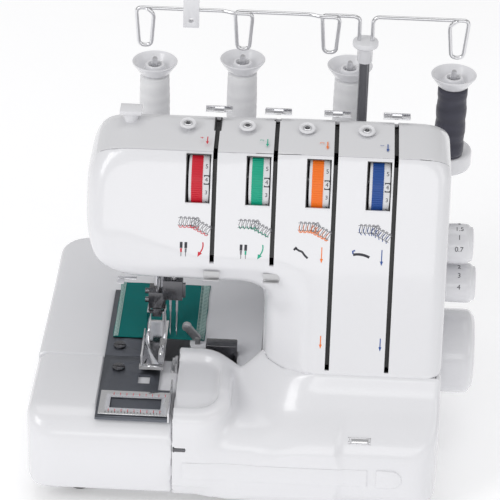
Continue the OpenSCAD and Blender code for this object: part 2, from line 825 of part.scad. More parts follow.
module spool(p) {
  translate([p[0], p[1], tray_top + 0.4]) difference() {
    cylinder(r = spool_r, h = spool_h);
    translate([0, 0, -1]) cylinder(r = 4, h = spool_h + 2);
  }
}

module thread_spools_white() {
  color("gainsboro") for (i = [0:2]) spool(spool_spots[i]);
}

module thread_spool_grey() {
  color([0.22, 0.22, 0.27]) spool(spool_spots[3]);
}

module spool_caps() {
  cap_z = tray_top + 0.4 + spool_h + gap;
  color("white") for (p = spool_spots) translate([p[0], p[1], cap_z]) rotate_extrude()
    polygon([[2.3, -10], [3.7, -10], [3.7, 0], [11, 0], [cap_r, 9.4], [cap_r - 1.2, 10.2],
      [10.4, 1.6], [6, 1.6], [6, 7], [2.3, 7]]);
}

module mast_outer() {
  color("silver") translate([mast_x, mast_y, 0]) difference() {
    translate([0, 0, 120]) cylinder(r = 5.4, h = 96);
    translate([0, 0, 124]) cylinder(r = 4.1, h = 100);
  }
}

module mast_inner() {
  color("silver") translate([mast_x, mast_y, 0]) difference() {
    translate([0, 0, 184]) cylinder(r = 4.05, h = 95);
  }
}

module mast_cap() {
  color("white") difference() {
    translate([mast_x, mast_y, 0]) {
      translate([0, 0, 279]) cylinder(r = 6, h = 13 + eps);
      translate([0, 0, 292]) cylinder(r = 10, h = 5);
    }
    for (dx = [-5, 5]) translate([mast_x + dx, mast_y, 289]) cylinder(r = wire_r, h = 20);
  }
}

// A round wire between two points of the mast plane, with a ball at its start.
module wire(x0, z0, x1, z1) {
  run = norm([x1 - x0, z1 - z0]);
  translate([x0, mast_y, z0]) {
    sphere(r = wire_r);
    rotate([0, atan2(x1 - x0, z1 - z0), 0]) cylinder(r = wire_r, h = run);
  }
}

// A hanging thread loop with its middle at x.
module wire_loop(x) {
  for (s = [-1, 1]) wire(x + s * loop_r, wire_z, x + s * loop_r, wire_z - loop_h);
  translate([x, mast_y, wire_z - loop_h]) rotate([90, 0, 0]) intersection() {
    rotate_extrude() translate([loop_r, 0]) circle(wire_r);
    translate([-loop_r - 5, -loop_r - 5, -5]) cube([2 * loop_r + 10, loop_r + 5, 10]);
  }
}

module guide_wires() {
  color("silver") {
    for (s = [-1, 1]) {
      wire(mast_x + s * 5, 291, mast_x + s * 5, wire_z - 3);
      wire(mast_x + s * 5, wire_z - 3, mast_x + s * 8, wire_z);
    }
    for (i = [0:3]) wire_loop(loop_xs[i]);
    wire(mast_x - 8, wire_z, loop_xs[2] + loop_r, wire_z);
    wire(loop_xs[2] - loop_r, wire_z, loop_xs[1] + loop_r, wire_z);
    wire(loop_xs[1] - loop_r, wire_z, loop_xs[0] + loop_r, wire_z);
    wire(loop_xs[0] - loop_r, wire_z, -108, wire_z);
    wire(mast_x + 8, wire_z, loop_xs[3] - loop_r, wire_z);
    wire(loop_xs[3] + loop_r, wire_z, 156, wire_z);
  }
}

module wire_tab() {
  color("white") difference() {
    span([-66, mast_y - 3, wire_z - 14], [-54, mast_y + 3, wire_z + 16]);
    rod_x(-70, -50, mast_y, wire_z, wire_r + 0.2);
    translate([-60, mast_y - 10, wire_z - 8]) rotate([-90, 0, 0]) cylinder(r = 2, h = 20);
  }
}

// ---------- cloth and electrics ----------

module cloth_sample() {
  color([0, 0.4, 0.38]) span([-112, -18, bed_top + 0.3], [-41, 60, bed_top + 1.3]);
}

module power_inlet() {
  color("black") translate([throat_x + 36, base_back - 13, 29]) difference() {
    cube([32, 12.5, 22]);
    translate([4, 4, 4]) cube([24, 10, 14]);
  }
}

module power_switch() {
  color("black") translate([throat_x + 86, base_back - 11, 31]) cube([18, 12, 12]);
}

base_pan();
rubber_feet();
chassis_frame();
bed_rear_cover();
bed_front_cover();
needle_plate();
front_plate();
plate_screws();
looper_cover();
cover_latch();
arm_housing();
front_panel();
top_cover();
slot_liners();
thread_eyelets();
top_guide_clips();
tension_dial(0, [0.84, 0.09, 0.16]);  // tension_dial_1
tension_dial(1, [0.05, 0.7, 0.55]);  // tension_dial_2
tension_dial(2, [0.98, 0.5, 0.1]);  // tension_dial_3
tension_dial(3, [0.1, 0.25, 0.62]);  // tension_dial_4
dial_spindles();
handwheel();
main_shaft();
shaft_pulley();
drive_belt();
motor();
motor_pulley();
stitch_length_dial();
differential_dial();
rock_shaft();
needle_bar();
needle_clamp();
needles();
presser_bar();
presser_ankle();
presser_foot();
lifter_lever();
upper_looper();
lower_looper();
upper_knife();
lower_knife();
feed_dogs();
seam_guide();
arm_thread_guides();
thread_cutter();
pressure_screw();
spool_stand();
spool_pins();
spool_caps();
thread_spools_white();
thread_spool_grey();
mast_outer();
mast_inner();
mast_cap();
guide_wires();
wire_tab();
cloth_sample();
power_inlet();
power_switch();
looper_guard();
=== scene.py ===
"""A four-thread serger overlock machine: smooth moulded covers, numbered dials,
thread stand, sewing head and a sample of cloth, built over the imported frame."""
import json
import math
import bmesh
import bpy
import numpy as np
import openvdb
from mathutils import Matrix, Vector


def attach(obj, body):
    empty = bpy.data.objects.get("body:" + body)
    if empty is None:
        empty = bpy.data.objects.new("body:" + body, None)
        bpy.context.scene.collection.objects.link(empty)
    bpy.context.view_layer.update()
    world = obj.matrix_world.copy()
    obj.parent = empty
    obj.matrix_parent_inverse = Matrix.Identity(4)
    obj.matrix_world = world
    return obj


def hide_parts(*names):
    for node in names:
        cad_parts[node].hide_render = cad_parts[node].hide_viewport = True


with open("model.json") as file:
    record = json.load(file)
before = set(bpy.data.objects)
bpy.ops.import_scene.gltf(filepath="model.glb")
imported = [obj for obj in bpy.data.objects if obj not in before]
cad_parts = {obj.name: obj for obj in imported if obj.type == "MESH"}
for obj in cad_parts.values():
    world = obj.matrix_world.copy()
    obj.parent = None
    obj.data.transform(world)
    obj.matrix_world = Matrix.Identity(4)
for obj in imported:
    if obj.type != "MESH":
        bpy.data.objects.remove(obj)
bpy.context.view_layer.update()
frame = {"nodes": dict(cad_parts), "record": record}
scene = bpy.context.scene
MM = 0.001


# ---------------------------------------------------------------- finishes

class Num:
    """A shader number: + - * / on it add Math nodes."""

    def __init__(self, finish, socket):
        self.finish = finish
        self.socket = socket

    def math(self, operation, other=0.0, swap=False):
        a, b = (other, self) if swap else (self, other)
        return self.finish.node("ShaderNodeMath", {"operation": operation}, {0: a, 1: b})

    def __add__(self, other): return self.math("ADD", other)
    def __radd__(self, other): return self.math("ADD", other, True)
    def __sub__(self, other): return self.math("SUBTRACT", other)
    def __rsub__(self, other): return self.math("SUBTRACT", other, True)
    def __mul__(self, other): return self.math("MULTIPLY", other)
    def __rmul__(self, other): return self.math("MULTIPLY", other, True)
    def __truediv__(self, other): return self.math("DIVIDE", other)


class Finish:
    """One procedural material on object coordinates."""

    def __init__(self, name, **constants):
        self.material = bpy.data.materials.new(name)
        self.material.use_nodes = True
        self.tree = self.material.node_tree
        self.shader = self.tree.nodes["Principled BSDF"]
        for label, value in constants.items():
            self.shader.inputs[label.replace("_", " ")].default_value = value
        self.place = self.node("ShaderNodeTexCoord", {}, {}, "Object")

    def node(self, kind, settings, inputs, out=0):
        made = self.tree.nodes.new(kind)
        for label, value in settings.items():
            setattr(made, label, value)
        for key, value in inputs.items():
            if isinstance(value, Num):
                self.tree.links.new(value.socket, made.inputs[key])
            else:
                made.inputs[key].default_value = value
        return Num(self, made.outputs[out])

    def noise(self, scale, detail=3.0, stretch=(1, 1, 1), rough=0.5):
        at = self.node("ShaderNodeMapping", {}, {"Vector": self.place, "Scale": stretch})
        return self.node("ShaderNodeTexNoise", {}, {"Vector": at, "Scale": scale, "Detail": detail,
                                                    "Roughness": rough})

    def wave(self, scale, axis, distortion=0.0, detail_scale=1.0):
        return self.node("ShaderNodeTexWave", {"wave_type": "BANDS", "bands_direction": axis},
                         {"Vector": self.place, "Scale": scale, "Distortion": distortion,
                          "Detail Scale": detail_scale}, "Fac")

    def mix(self, fac, a, b):
        a, b = ((*c, 1) if isinstance(c, tuple) else c for c in (a, b))
        return self.node("ShaderNodeMix", {"data_type": "RGBA"}, {0: fac, 6: a, 7: b}, 2)

    def feed(self, label, value):
        self.tree.links.new(value.socket, self.shader.inputs[label])

    def bump(self, height, distance, strength=1.0):
        self.feed("Normal", self.node("ShaderNodeBump", {}, {"Height": height, "Distance": distance,
                                                            "Strength": strength}))


def shade(colour, k):
    return tuple(min(1.0, c * k) for c in colour)


def moulded(name, colour, rough, coat, grain=0.03, grain_scale=1400, **constants):
    """Moulded plastic: faint flow mottling, fine texture, scuffed gloss."""
    f = Finish(name, Coat_Roughness=0.06, IOR=1.49, **constants)
    flow = f.noise(9, 4)
    speck = f.noise(420, 2)
    f.feed("Base Color", f.mix(flow * 0.6 + speck * 0.25, shade(colour, 0.965), shade(colour, 1.02)))
    scuff = f.noise(46, 6, (1, 1, 1), 0.7)
    f.feed("Roughness", rough + (scuff - 0.5) * 0.12 + (speck - 0.5) * 0.05)
    f.feed("Coat Weight", coat + (flow - 0.5) * 0.1)
    f.bump(f.noise(grain_scale, 2), grain * MM, 0.5)
    return f.material


def metal(name, colour, rough, stretch=(1, 1, 1), scale=900, grain=0.02, dirt=0.25):
    """Machined or plated metal with brushing along one axis and dull patches."""
    f = Finish(name, Metallic=1.0)
    patch = f.noise(60, 5, (1, 1, 1), 0.65)
    brush = f.noise(scale, 3, stretch)
    f.feed("Base Color", f.mix(patch * dirt + brush * 0.2, colour, shade(colour, 0.62)))
    f.feed("Roughness", rough + (patch - 0.4) * 0.2 + (brush - 0.5) * 0.14)
    f.bump(brush, grain * MM, 0.6)
    return f.material


def thread_wound(name, colour, dark, sheen, bands=0.7):
    """Cross-wound thread: crossing helical bands with fine strands."""
    f = Finish(name, Sheen_Weight=sheen, Sheen_Roughness=0.4, Specular_IOR_Level=0.3)
    fine = f.wave(420, "Z", 2.5, 1.6)
    broad = f.wave(30, "Z", 9.0, 0.6)
    fuzz = f.noise(900, 3)
    f.feed("Base Color", f.mix(0.45 + fine * 0.2 + broad * 0.2 + fuzz * 0.2, dark, colour))
    f.feed("Roughness", 0.62 + fuzz * 0.3)
    f.bump(fine * 0.4 + broad * bands + fuzz * 0.2, 0.3 * MM, 0.7)
    return f.material


def woven_cloth(name, colour, dark):
    """Fine plain-weave cotton with soft colour drift."""
    f = Finish(name, Sheen_Weight=0.05, Sheen_Roughness=0.5, Specular_IOR_Level=0.15)
    warp = f.wave(1100, "X", 0.6)
    weft = f.wave(1100, "Y", 0.6)
    drift = f.noise(30, 4)
    fuzz = f.noise(1500, 2)
    f.feed("Base Color", f.mix(warp * 0.25 + weft * 0.25 + drift * 0.6, dark, colour))
    f.feed("Roughness", 0.8 + fuzz * 0.15)
    f.bump(warp + weft + fuzz * 0.6, 0.12 * MM, 0.8)
    return f.material


WHITE = (0.80, 0.80, 0.825)
finish = {
    "white_plastic": moulded("gloss_white_shell", WHITE, 0.24, 0.45),
    "soft_white_plastic": moulded("soft_white_plastic", shade(WHITE, 0.93), 0.42, 0.1, 0.06, 900),
    # The roof is the same white plastic as the shell, painted a darker grey as painted shade on its upward-facing
    # top.
    "roof_white_painted_shade": moulded("satin_roof_plastic", (0.735, 0.735, 0.755), 0.4, 0.12, 0.05, 1000),
    "black_plastic": moulded("black_plastic", (0.012, 0.012, 0.014), 0.35, 0.2, 0.05, 1100),
    "rubber": moulded("foot_rubber", (0.02, 0.02, 0.022), 0.75, 0.0, 0.12, 500),
    "steel": metal("ground_steel", (0.62, 0.62, 0.63), 0.3, (1, 12, 1)),
    "chrome": metal("chrome_plate", (0.80, 0.80, 0.82), 0.12, (1, 1, 1), 500, 0.006, 0.3),
    "aluminium": metal("drawn_aluminium", (0.55, 0.56, 0.59), 0.32, (20, 20, 1)),
    "dark_metal": metal("blackened_steel", (0.16, 0.16, 0.17), 0.2, (1, 1, 8), 700, 0.02, 0.4),
    "mast_metal": metal("dark_polished_tube", (0.20, 0.20, 0.215), 0.2, (12, 12, 1), 600, 0.01, 0.3),
    "plate_grey": metal("brushed_plate", (0.17, 0.18, 0.205), 0.42, (30, 1, 1), 600, 0.03, 0.3),
    "red": moulded("red_dial_band", (0.62, 0.008, 0.028), 0.4, 0.1, 0.06, 900),
    "green": moulded("green_dial_band", (0.003, 0.40, 0.25), 0.4, 0.1, 0.06, 900),
    "orange": moulded("orange_dial_band", (0.92, 0.20, 0.012), 0.4, 0.1, 0.06, 900),
    "blue": moulded("blue_dial_band", (0.012, 0.075, 0.32), 0.4, 0.1, 0.06, 900),
    "cloth": woven_cloth("teal_cotton", (0.0, 0.235, 0.222), (0.0, 0.14, 0.134)),
    "thread_white": thread_wound("white_thread", (0.90, 0.90, 0.91), (0.68, 0.68, 0.70), 0.4, 0.25),
    "thread_grey": thread_wound("dark_grey_thread", (0.075, 0.075, 0.10), (0.018, 0.018, 0.026), 0.6),
    "ink": moulded("printed_ink", (0.03, 0.03, 0.04), 0.5, 0.0, 0.02, 900),
    "grey_ink": moulded("printed_grey", (0.16, 0.16, 0.18), 0.5, 0.0, 0.02, 900),
    "sample_thread": thread_wound("pale_stitch_thread", (0.62, 0.78, 0.74), (0.32, 0.50, 0.47), 0.3),
    "dial_white": moulded("dial_strip_white", (0.72, 0.72, 0.74), 0.45, 0.05),
}


# ---------------------------------------------------------------- making meshes

RIGHT = Vector((1, 0, 0))


def linked(name, data):
    obj = bpy.data.objects.new(name, data)
    scene.collection.objects.link(obj)
    return obj


def worked_out(obj):
    """The object's mesh with its modifiers or curve settings applied."""
    return bpy.data.meshes.new_from_object(obj.evaluated_get(bpy.context.evaluated_depsgraph_get()))


def applied(obj):
    mesh = worked_out(obj)
    obj.modifiers.clear()
    obj.data = mesh
    return obj


def as_object(name, bm, material, smooth=True):
    mesh = bpy.data.meshes.new(name)
    bm.to_mesh(mesh)
    bm.free()
    obj = linked(name, mesh)
    mesh.materials.append(finish[material] if isinstance(material, str) else material)
    for p in mesh.polygons:
        p.use_smooth = smooth
    return obj


def settle(obj, body, *nodes, slot=None):
    """Applies a piece's modifiers, then hands it to its body and node."""
    if obj.modifiers:
        applied(obj)
    obj.data.transform(Matrix.Scale(MM, 4))
    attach(obj, body)
    if nodes:
        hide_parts(*nodes)
    return obj


def sharpen(obj, degrees=32):
    obj.data.set_sharp_from_angle(angle=math.radians(degrees))
    return obj


def solidify(obj, thickness):
    mod = obj.modifiers.new("wall", "SOLIDIFY")
    mod.thickness = thickness
    mod.offset = -1
    mod.use_even_offset = False
    return obj


def bevel(obj, width, segments=2, degrees=30):
    mod = obj.modifiers.new("edge", "BEVEL")
    mod.width = width
    mod.segments = segments
    mod.limit_method = "ANGLE"
    mod.angle_limit = math.radians(degrees)
    mod.harden_normals = False
    return obj


def node_mesh(node):
    """A CAD node's mesh in millimetres, its doubled corners merged."""
    bm = bmesh.new()
    bm.from_mesh(frame["nodes"][node].data)
    for v in bm.verts:
        v.co /= MM
    bmesh.ops.remove_doubles(bm, verts=bm.verts, dist=0.002)
    return bm


def eased(node, width):
    """A copy of a CAD node with softened edges, which stands for it."""
    bm = node_mesh(node)
    bmesh.ops.dissolve_limit(bm, angle_limit=math.radians(1.0), verts=bm.verts, edges=bm.edges)
    obj = bevel(as_object(node + "_piece", bm, slot_of[node]), width, 2, 40)
    return sharpen(settle(obj, body_of[node], node, slot=slot_of[node]), 50)


slot_of = {s["node"]: s["material_slot"] for s in frame["record"]["subparts"]}
body_of = {n: b for b, ns in frame["record"]["behaviour"]["bodies"].items() for n in ns}


def block(name, low, high, material="ink", width=0.0, segments=2):
    """A box between two corners, its edges eased where a width is given."""
    bm = bmesh.new()
    bmesh.ops.create_cube(bm, size=1)
    for v in bm.verts:
        v.co = Vector([(a + b) / 2 + c * (b - a) for a, b, c in zip(low, high, v.co)])
    obj = as_object(name, bm, material, smooth=width > 0)
    return applied(bevel(obj, width, segments)) if width else obj


def lathe(name, profile, material, centre, axis="Z", steps=72):
    """Turns a profile of (radius, height) points round an axis through centre."""
    bm = bmesh.new()
    rings = []
    for r, h in profile:
        ring = []
        for k in range(steps):
            a = 2 * math.pi * k / steps
            u, v = r * math.cos(a), r * math.sin(a)
            at = (u, v, h) if axis == "Z" else (h, u, v)
            ring.append(bm.verts.new(Vector(centre) + Vector(at)))
        rings.append(ring)
    for a, b in zip(rings, rings[1:]):
        for k in range(steps):
            bm.faces.new((a[k], a[(k + 1) % steps], b[(k + 1) % steps], b[k]))
    bmesh.ops.remove_doubles(bm, verts=bm.verts, dist=0.0005)
    bmesh.ops.recalc_face_normals(bm, faces=bm.faces)
    return sharpen(as_object(name, bm, material), 35)


def rounded(points, radii, steps=5):
    """A closed outline with each corner turned into an arc."""
    out = []
    n = len(points)
    for i in range(n):
        p = np.array(points[i], float)
        a = np.array(points[i - 1], float) - p
        b = np.array(points[(i + 1) % n], float) - p
        r = radii[i]
        if r <= 0:
            out.append(tuple(p))
            continue
        la, lb = np.linalg.norm(a), np.linalg.norm(b)
        a, b = a / la, b / lb
        half = math.acos(max(-1, min(1, float(a @ b)))) / 2
        if half > math.pi / 2 - 0.01:
            out.append(tuple(p))
            continue
        t = min(r / math.tan(half), la * 0.48, lb * 0.48)
        r = t * math.tan(half)
        mid = (a + b) / np.linalg.norm(a + b) * (r / math.sin(half))
        s, e = p + a * t - (p + mid), p + b * t - (p + mid)
        a0 = math.atan2(s[1], s[0])
        da = (math.atan2(e[1], e[0]) - a0 + math.pi) % (2 * math.pi) - math.pi
        for k in range(steps + 1):
            w = a0 + da * k / steps
            out.append((p[0] + mid[0] + r * math.cos(w), p[1] + mid[1] + r * math.sin(w)))
    return out


def outline_distance(points, u, v):
    """Signed distance to a closed outline, negative inside."""
    shape = np.broadcast(u, v).shape
    best = np.full(shape, 1e12)
    inside = np.zeros(shape, bool)
    for (ax, ay), (bx, by) in zip(points, points[1:] + points[:1]):
        ex, ey = bx - ax, by - ay
        length = ex * ex + ey * ey
        if length < 1e-9:
            continue
        wx, wy = u - ax, v - ay
        t = np.clip((wx * ex + wy * ey) / length, 0, 1)
        best = np.minimum(best, (wx - ex * t) ** 2 + (wy - ey * t) ** 2)
        if ey:
            inside ^= ((ay > v) != (by > v)) & (u < ax + (v - ay) * ex / ey)
    best = np.sqrt(best)
    return np.where(inside, -best, best)


def soft_max(a, b, k):
    h = np.maximum(k - np.abs(a - b), 0) / k
    return np.maximum(a, b) + h * h * k / 4


def soft_min(a, b, k):
    return -soft_max(-a, -b, k)


def cast(distance, low, high, cell):
    """The surface of a distance field as a smooth closed bmesh."""
    axes = [np.arange(a - 2.5 * cell, b + 2.5 * cell, cell) for a, b in zip(low, high)]
    x, y, z = axes[0][:, None, None], axes[1][None, :, None], axes[2][None, None, :]
    shape = [len(a) for a in axes]
    values = np.ascontiguousarray(np.broadcast_to(distance(x, y, z), shape).astype(np.float32))
    grid = openvdb.FloatGrid(float(values.max()))
    grid.copyFromArray(values)
    points, quads = grid.convertToQuads(0.0)[:2]
    p = np.asarray(points, float) * cell + np.array([a[0] for a in axes])
    for _ in range(3):
        d = distance(p[:, 0], p[:, 1], p[:, 2])
        g = np.stack([distance(*(p + o).T) - distance(*(p - o).T) for o in np.eye(3) * 0.05], 1) / 0.1
        step = d[:, None] * g / np.maximum((g * g).sum(1), 0.2)[:, None]
        p -= np.clip(step, -cell, cell)
    bm = bmesh.new()
    verts = [bm.verts.new(c) for c in p]
    for q in np.asarray(quads):
        if len(set(q)) == 4:
            bm.faces.new([verts[i] for i in q])
    if bm.calc_volume(signed=True) < 0:
        bmesh.ops.reverse_faces(bm, faces=bm.faces)
    return bm


def slice_at(bm, point, normal, where=None):
    """Splits the faces along a plane, all of them or only where told."""
    faces = [f for f in bm.faces if where is None or where(f.calc_center_median())]
    geom = list({v for f in faces for v in f.verts}) + list({e for f in faces for e in f.edges}) + faces
    bmesh.ops.bisect_plane(bm, geom=geom, plane_co=point, plane_no=normal, dist=0.02)


def remove_faces(bm, where):
    bmesh.ops.delete(bm, geom=[f for f in bm.faces if where(f.calc_center_median())], context="FACES")


def part_of(bm, where):
    """A new bmesh with only the faces that where picks."""
    other = bm.copy()
    remove_faces(other, lambda c: not where(c))
    return other


def from_curve(curve, material, matrix=None):
    """Turns a text or wire curve into a mesh object."""
    source = linked(curve.name, curve)
    bpy.context.view_layer.update()
    mesh = worked_out(source)
    bpy.data.objects.remove(source)
    if matrix is not None:
        mesh.transform(matrix)
    mesh.materials.clear()
    mesh.materials.append(finish[material])
    return linked("piece", mesh)


def text_mesh(words, size, material, matrix, thick=0.04):
    curve = bpy.data.curves.new("words", "FONT")
    curve.body = words
    curve.size = size
    curve.align_x = "CENTER"
    curve.align_y = "CENTER"
    curve.extrude = thick
    return from_curve(curve, material, matrix)


def laid_on(origin, normal):
    """A matrix that lays flat work on a surface, its x along the machine."""
    return Matrix.Translation(origin) @ Matrix((RIGHT, normal.cross(RIGHT), normal)).transposed().to_4x4()


def join(name, objects):
    """Several pieces of one body made into one mesh."""
    bm = bmesh.new()
    slots = []
    for o in objects:
        index = []
        for m in o.data.materials:
            if m not in slots:
                slots.append(m)
            index.append(slots.index(m))
        part = bmesh.new()
        part.from_mesh(o.data)
        for f in part.faces:
            f.material_index = index[f.material_index] if index else 0
        mesh = bpy.data.meshes.new("part")
        part.to_mesh(mesh)
        part.free()
        bm.from_mesh(mesh)
    mesh = bpy.data.meshes.new(name)
    bm.to_mesh(mesh)
    bm.free()
    for m in slots:
        mesh.materials.append(m)
    for o in objects:
        bpy.data.objects.remove(o)
    return linked(name, mesh)


# ---------------------------------------------------------------- camera and light

def place_camera():
    """The viewing angle: high in front, very long lens, a slight roll."""
    yaw, pitch, roll = (math.radians(a) for a in (-1.8166, 32.0171, 1.5525))
    ahead = Vector((math.sin(yaw) * math.cos(pitch), math.cos(yaw) * math.cos(pitch), -math.sin(pitch)))
    right = Vector((math.cos(yaw), -math.sin(yaw), 0))
    down = ahead.cross(right)
    turned = right * math.cos(roll) - down * math.sin(roll)
    lower = right * math.sin(roll) + down * math.cos(roll)
    data = bpy.data.cameras.new("camera")
    data.lens = 2469.15 * 36 / 500
    data.clip_end = 50
    camera = linked("camera", data)
    camera.matrix_world = Matrix((
        (turned.x, -lower.x, -ahead.x, 0.04258), (turned.y, -lower.y, -ahead.y, -1.60062),
        (turned.z, -lower.z, -ahead.z, 1.15531), (0, 0, 0, 1)))
    scene.camera = camera


def area_light(name, at, target, size, watts):
    data = bpy.data.lights.new(name, "AREA")
    data.shape = "RECTANGLE"
    data.size, data.size_y = size
    data.energy = watts
    obj = linked(name, data)
    obj.location = at
    obj.rotation_euler = (Vector(target) - Vector(at)).to_track_quat("-Z", "Y").to_euler()


def light_studio():
    area_light("key_box", (-1.5, -1.3, 1.6), (0, 0, 0.12), (0.9, 1.3), 15)
    area_light("fill_box", (1.7, -1.2, 1.0), (0, 0, 0.12), (1.0, 1.0), 4)
    area_light("top_box", (0.0, 0.5, 2.2), (0, 0, 0.1), (1.8, 1.2), 8)
    area_light("front_box", (0.1, -2.4, 0.8), (0, 0, 0.12), (1.6, 0.7), 6)
    world = bpy.data.worlds.new("studio")
    world.use_nodes = True
    sky = world.node_tree.nodes["Background"].inputs
    sky["Color"].default_value = (1, 1, 1, 1)
    sky["Strength"].default_value = 0.5
    scene.world = world
    scene.view_settings.view_transform = "Standard"
    bm = bmesh.new()
    bmesh.ops.create_grid(bm, x_segments=1, y_segments=1, size=12)
    floor = as_object("floor", bm, moulded("pale_floor", (0.93, 0.93, 0.94), 0.8, 0.0))
    glow = floor.data.materials[0].node_tree.nodes["Principled BSDF"].inputs
    glow["Emission Color"].default_value = (1, 1, 1, 1)
    glow["Emission Strength"].default_value = 0.28


place_camera()
light_studio()


# ---------------------------------------------------------------- arm, column, panel and roof

EDGE = (-39.5, 262.6)          # roof edge of the front panel, y and z
FOLD = (-71.0, 184.0)          # lower edge of the panel on the arm
FOOT = (-97.6, 109.3)          # lower edge of the panel on the column
ROOF = 270.0
UNDER = 162.0                  # underside of the arm
WALL = 2.4                     # wall of the white shells
SLOTS = [-34.0, 10.0, 54.0, 98.0]
down = np.array(FOLD) - np.array(EDGE)
PANEL_LENGTH = float(np.linalg.norm(down))
down = down / PANEL_LENGTH
out = np.array([down[1], -down[0]])
LOWER_LENGTH = math.dist(FOLD, FOOT)
lower = (np.array(FOOT) - np.array(FOLD)) / LOWER_LENGTH
lower_out = np.array([lower[1], -lower[0]])
BACK = [(4.5, ROOF), (30, 252), (60, 227), (78, 200), (88, 189)]
SKIRT = 14.0                   # lower edge of the covers, above the base pan
column_side = rounded([EDGE, *BACK, (88, SKIRT), (-84, SKIRT), (-84, 99.3), FOOT, FOLD],
                      [0, 9, 20, 20, 12, 6, 2, 2, 0, 0, 0])


def box_distance(u, v, u0, u1, v0, v1, r):
    du = np.abs(u - (u0 + u1) / 2) - (u1 - u0) / 2 + r
    dv = np.abs(v - (v0 + v1) / 2) - (v1 - v0) / 2 + r
    return np.minimum(np.maximum(du, dv), 0) + np.sqrt(np.maximum(du, 0) ** 2 + np.maximum(dv, 0) ** 2) - r


arm_front = rounded([(-134, 360), (-134, UNDER), (190, UNDER), (190, 360)], [0, 50, 0, 0], 14)


def column_corner(x, y, z):
    """The column's left wall with its slanted front corner, negative inside."""
    slant = (x - 38) * -0.692 + (y + 97.6) * -0.680 + (z - 109.3) * 0.241
    return soft_max(5 - x, slant, 9)


def body_distance(x, y, z):
    """Arm and column in one shell: a soft inner corner under the lip, pillowy left end."""
    lip = (y + 71) * -0.894 + (z - 184) * -0.447
    arm = soft_max(outline_distance(arm_front, x, z), lip, 8)
    both = soft_min(arm, column_corner(x, y, z), 26)
    both = soft_max(outline_distance(column_side, y, z), both, 5 + 15 * np.clip((-45 - x) / 55, 0, 1))
    ends = box_distance(x, z, -134, 139, -60, 270.4, 26)
    top = box_distance(x, z, -134, 400, -400, 270.4, 44)
    return soft_max(both, np.maximum(ends, top), 12 + 8 * np.clip((30 - x) / 60, 0, 1))


def on_panel(x, s, d=0.0):
    """A point of the front panel: x, distance down from the roof edge, height above it."""
    if s <= PANEL_LENGTH:
        p = np.array(EDGE) + down * s + out * d
    else:
        p = np.array(FOLD) + lower * (s - PANEL_LENGTH) + lower_out * d
    return Vector((x, p[0], p[1]))


def build_body():
    """The smooth shell, cut along its real seams into housing, panel and roof."""
    bm = cast(body_distance, (-134, -98, 14), (139, 88, 271), 2.6)
    e, b = Vector((0, *EDGE)), Vector((0, *FOLD))
    seam_normal = Vector((0, 0.79, 0.61))
    for k in (-0.3, 0.3):
        slice_at(bm, e + seam_normal * k, seam_normal, lambda c: c.y < 40)
    for k in (-0.25, 0.25):
        slice_at(bm, Vector((0, 25 + k, 0)), (0, 1, 0), lambda c: c.z > 200)
        slice_at(bm, Vector((-122 + k, 0, 0)), (1, 0, 0), lambda c: c.z > 225 and -42 < c.y < 30)
        slice_at(bm, Vector((0, -33 + k, 0)), (0, 1, 0), lambda c: c.z < 245)
    fold_normal = Vector((0, -0.3, 0.954))
    slice_at(bm, b + fold_normal * 0.2, fold_normal, lambda c: c.x < 36)
    slice_at(bm, b - fold_normal * 0.2, fold_normal, lambda c: c.x < 36)

    for x in SLOTS:
        for w in (-1.65, 1.65):
            slice_at(bm, Vector((x + w, 0, 0)), (1, 0, 0),
                     lambda c: c.z > 90 and c.y < 30 and abs(c.x - x) < 8)
        mid = x - 12
        for w in (-9, 9):
            slice_at(bm, Vector((mid + w, 0, 0)), (1, 0, 0),
                     lambda c: c.z > 205 and c.y < -30 and abs(c.x - mid) < 16)
        for s in (3, 40):
            slice_at(bm, on_panel(0, s), Vector((0, down[0], down[1])),
                     lambda c: c.z > 205 and c.y < -36 and abs(c.x - mid) < 13)
    foot_up = on_panel(0, PANEL_LENGTH + LOWER_LENGTH - 3)
    slice_at(bm, foot_up, Vector((0, *lower)), lambda c: c.x > 45 and c.z < 125 and c.y < -80)

    def seam_side(c):
        return (c - e).dot(seam_normal)

    def gone(c):
        if c.z < 16 and c.y > -90:
            return True
        if c.y < 25.3 and c.z > 100 and any(abs(c.x - x) < 1.65 for x in SLOTS):
            upper = SLOTS.index(min(SLOTS, key=lambda x: abs(c.x - x))) < 2
            if seam_side(c) > -0.4 and c.z > 200:
                return c.y < 25
            return c.y < -38 and c.z > (FOLD[1] + 0.3 if upper else foot_up.z)
        if c.y < -38 and c.z > 205:
            s = (c.y - EDGE[0]) * down[0] + (c.z - EDGE[1]) * down[1]
            if 3 < s < 40 and any(abs(c.x - x + 12) < 9 for x in SLOTS):
                return True
        if abs(seam_side(c)) < 0.3 and c.y < -33:
            return True
        return False

    remove_faces(bm, gone)
    roof = lambda c: seam_side(c) > 0 and c.x > -122.2 and c.y < 25 and c.z > 225 and c.x < 131
    front = lambda c: seam_side(c) < 0 and c.y < -33 and ((c - b).dot(fold_normal) > 0 or c.x > 36)
    rest = lambda c: not roof(c) and not front(c)
    # The roof takes the white plastic with painted shade; front panel and housing take the plain white.
    for name, pick, node, material in (("roof_cover_shell", roof, "top_cover", "roof_white_painted_shade"),
                                       ("front_panel_shell", front, "front_panel", "white_plastic"),
                                       ("arm_housing_shell", rest, "arm_housing", "white_plastic")):
        obj = solidify(as_object(name, part_of(bm, pick), material), WALL)
        sharpen(settle(obj, "machine", node, slot="white_plastic"), 38)
    bm.free()


build_body()


# ---------------------------------------------------------------- bed and looper cover

BED = 80.0                     # bed top
BED_SEAM = -43.0               # y of the seam between the two bed covers
COVER_LEFT = -58.0
COVER_TOP = 109.3              # seam under the front panel
SHELL_RIGHT = 139.0
SHELL_FRONT = -133.9
SHELL_BACK = 133.9


def arc(cy, cz, r, a0, a1):
    angles = [math.radians(a0 + (a1 - a0) * i / 10) for i in range(11)]
    return [(cy + r * math.cos(a), cz + r * math.sin(a)) for a in angles]


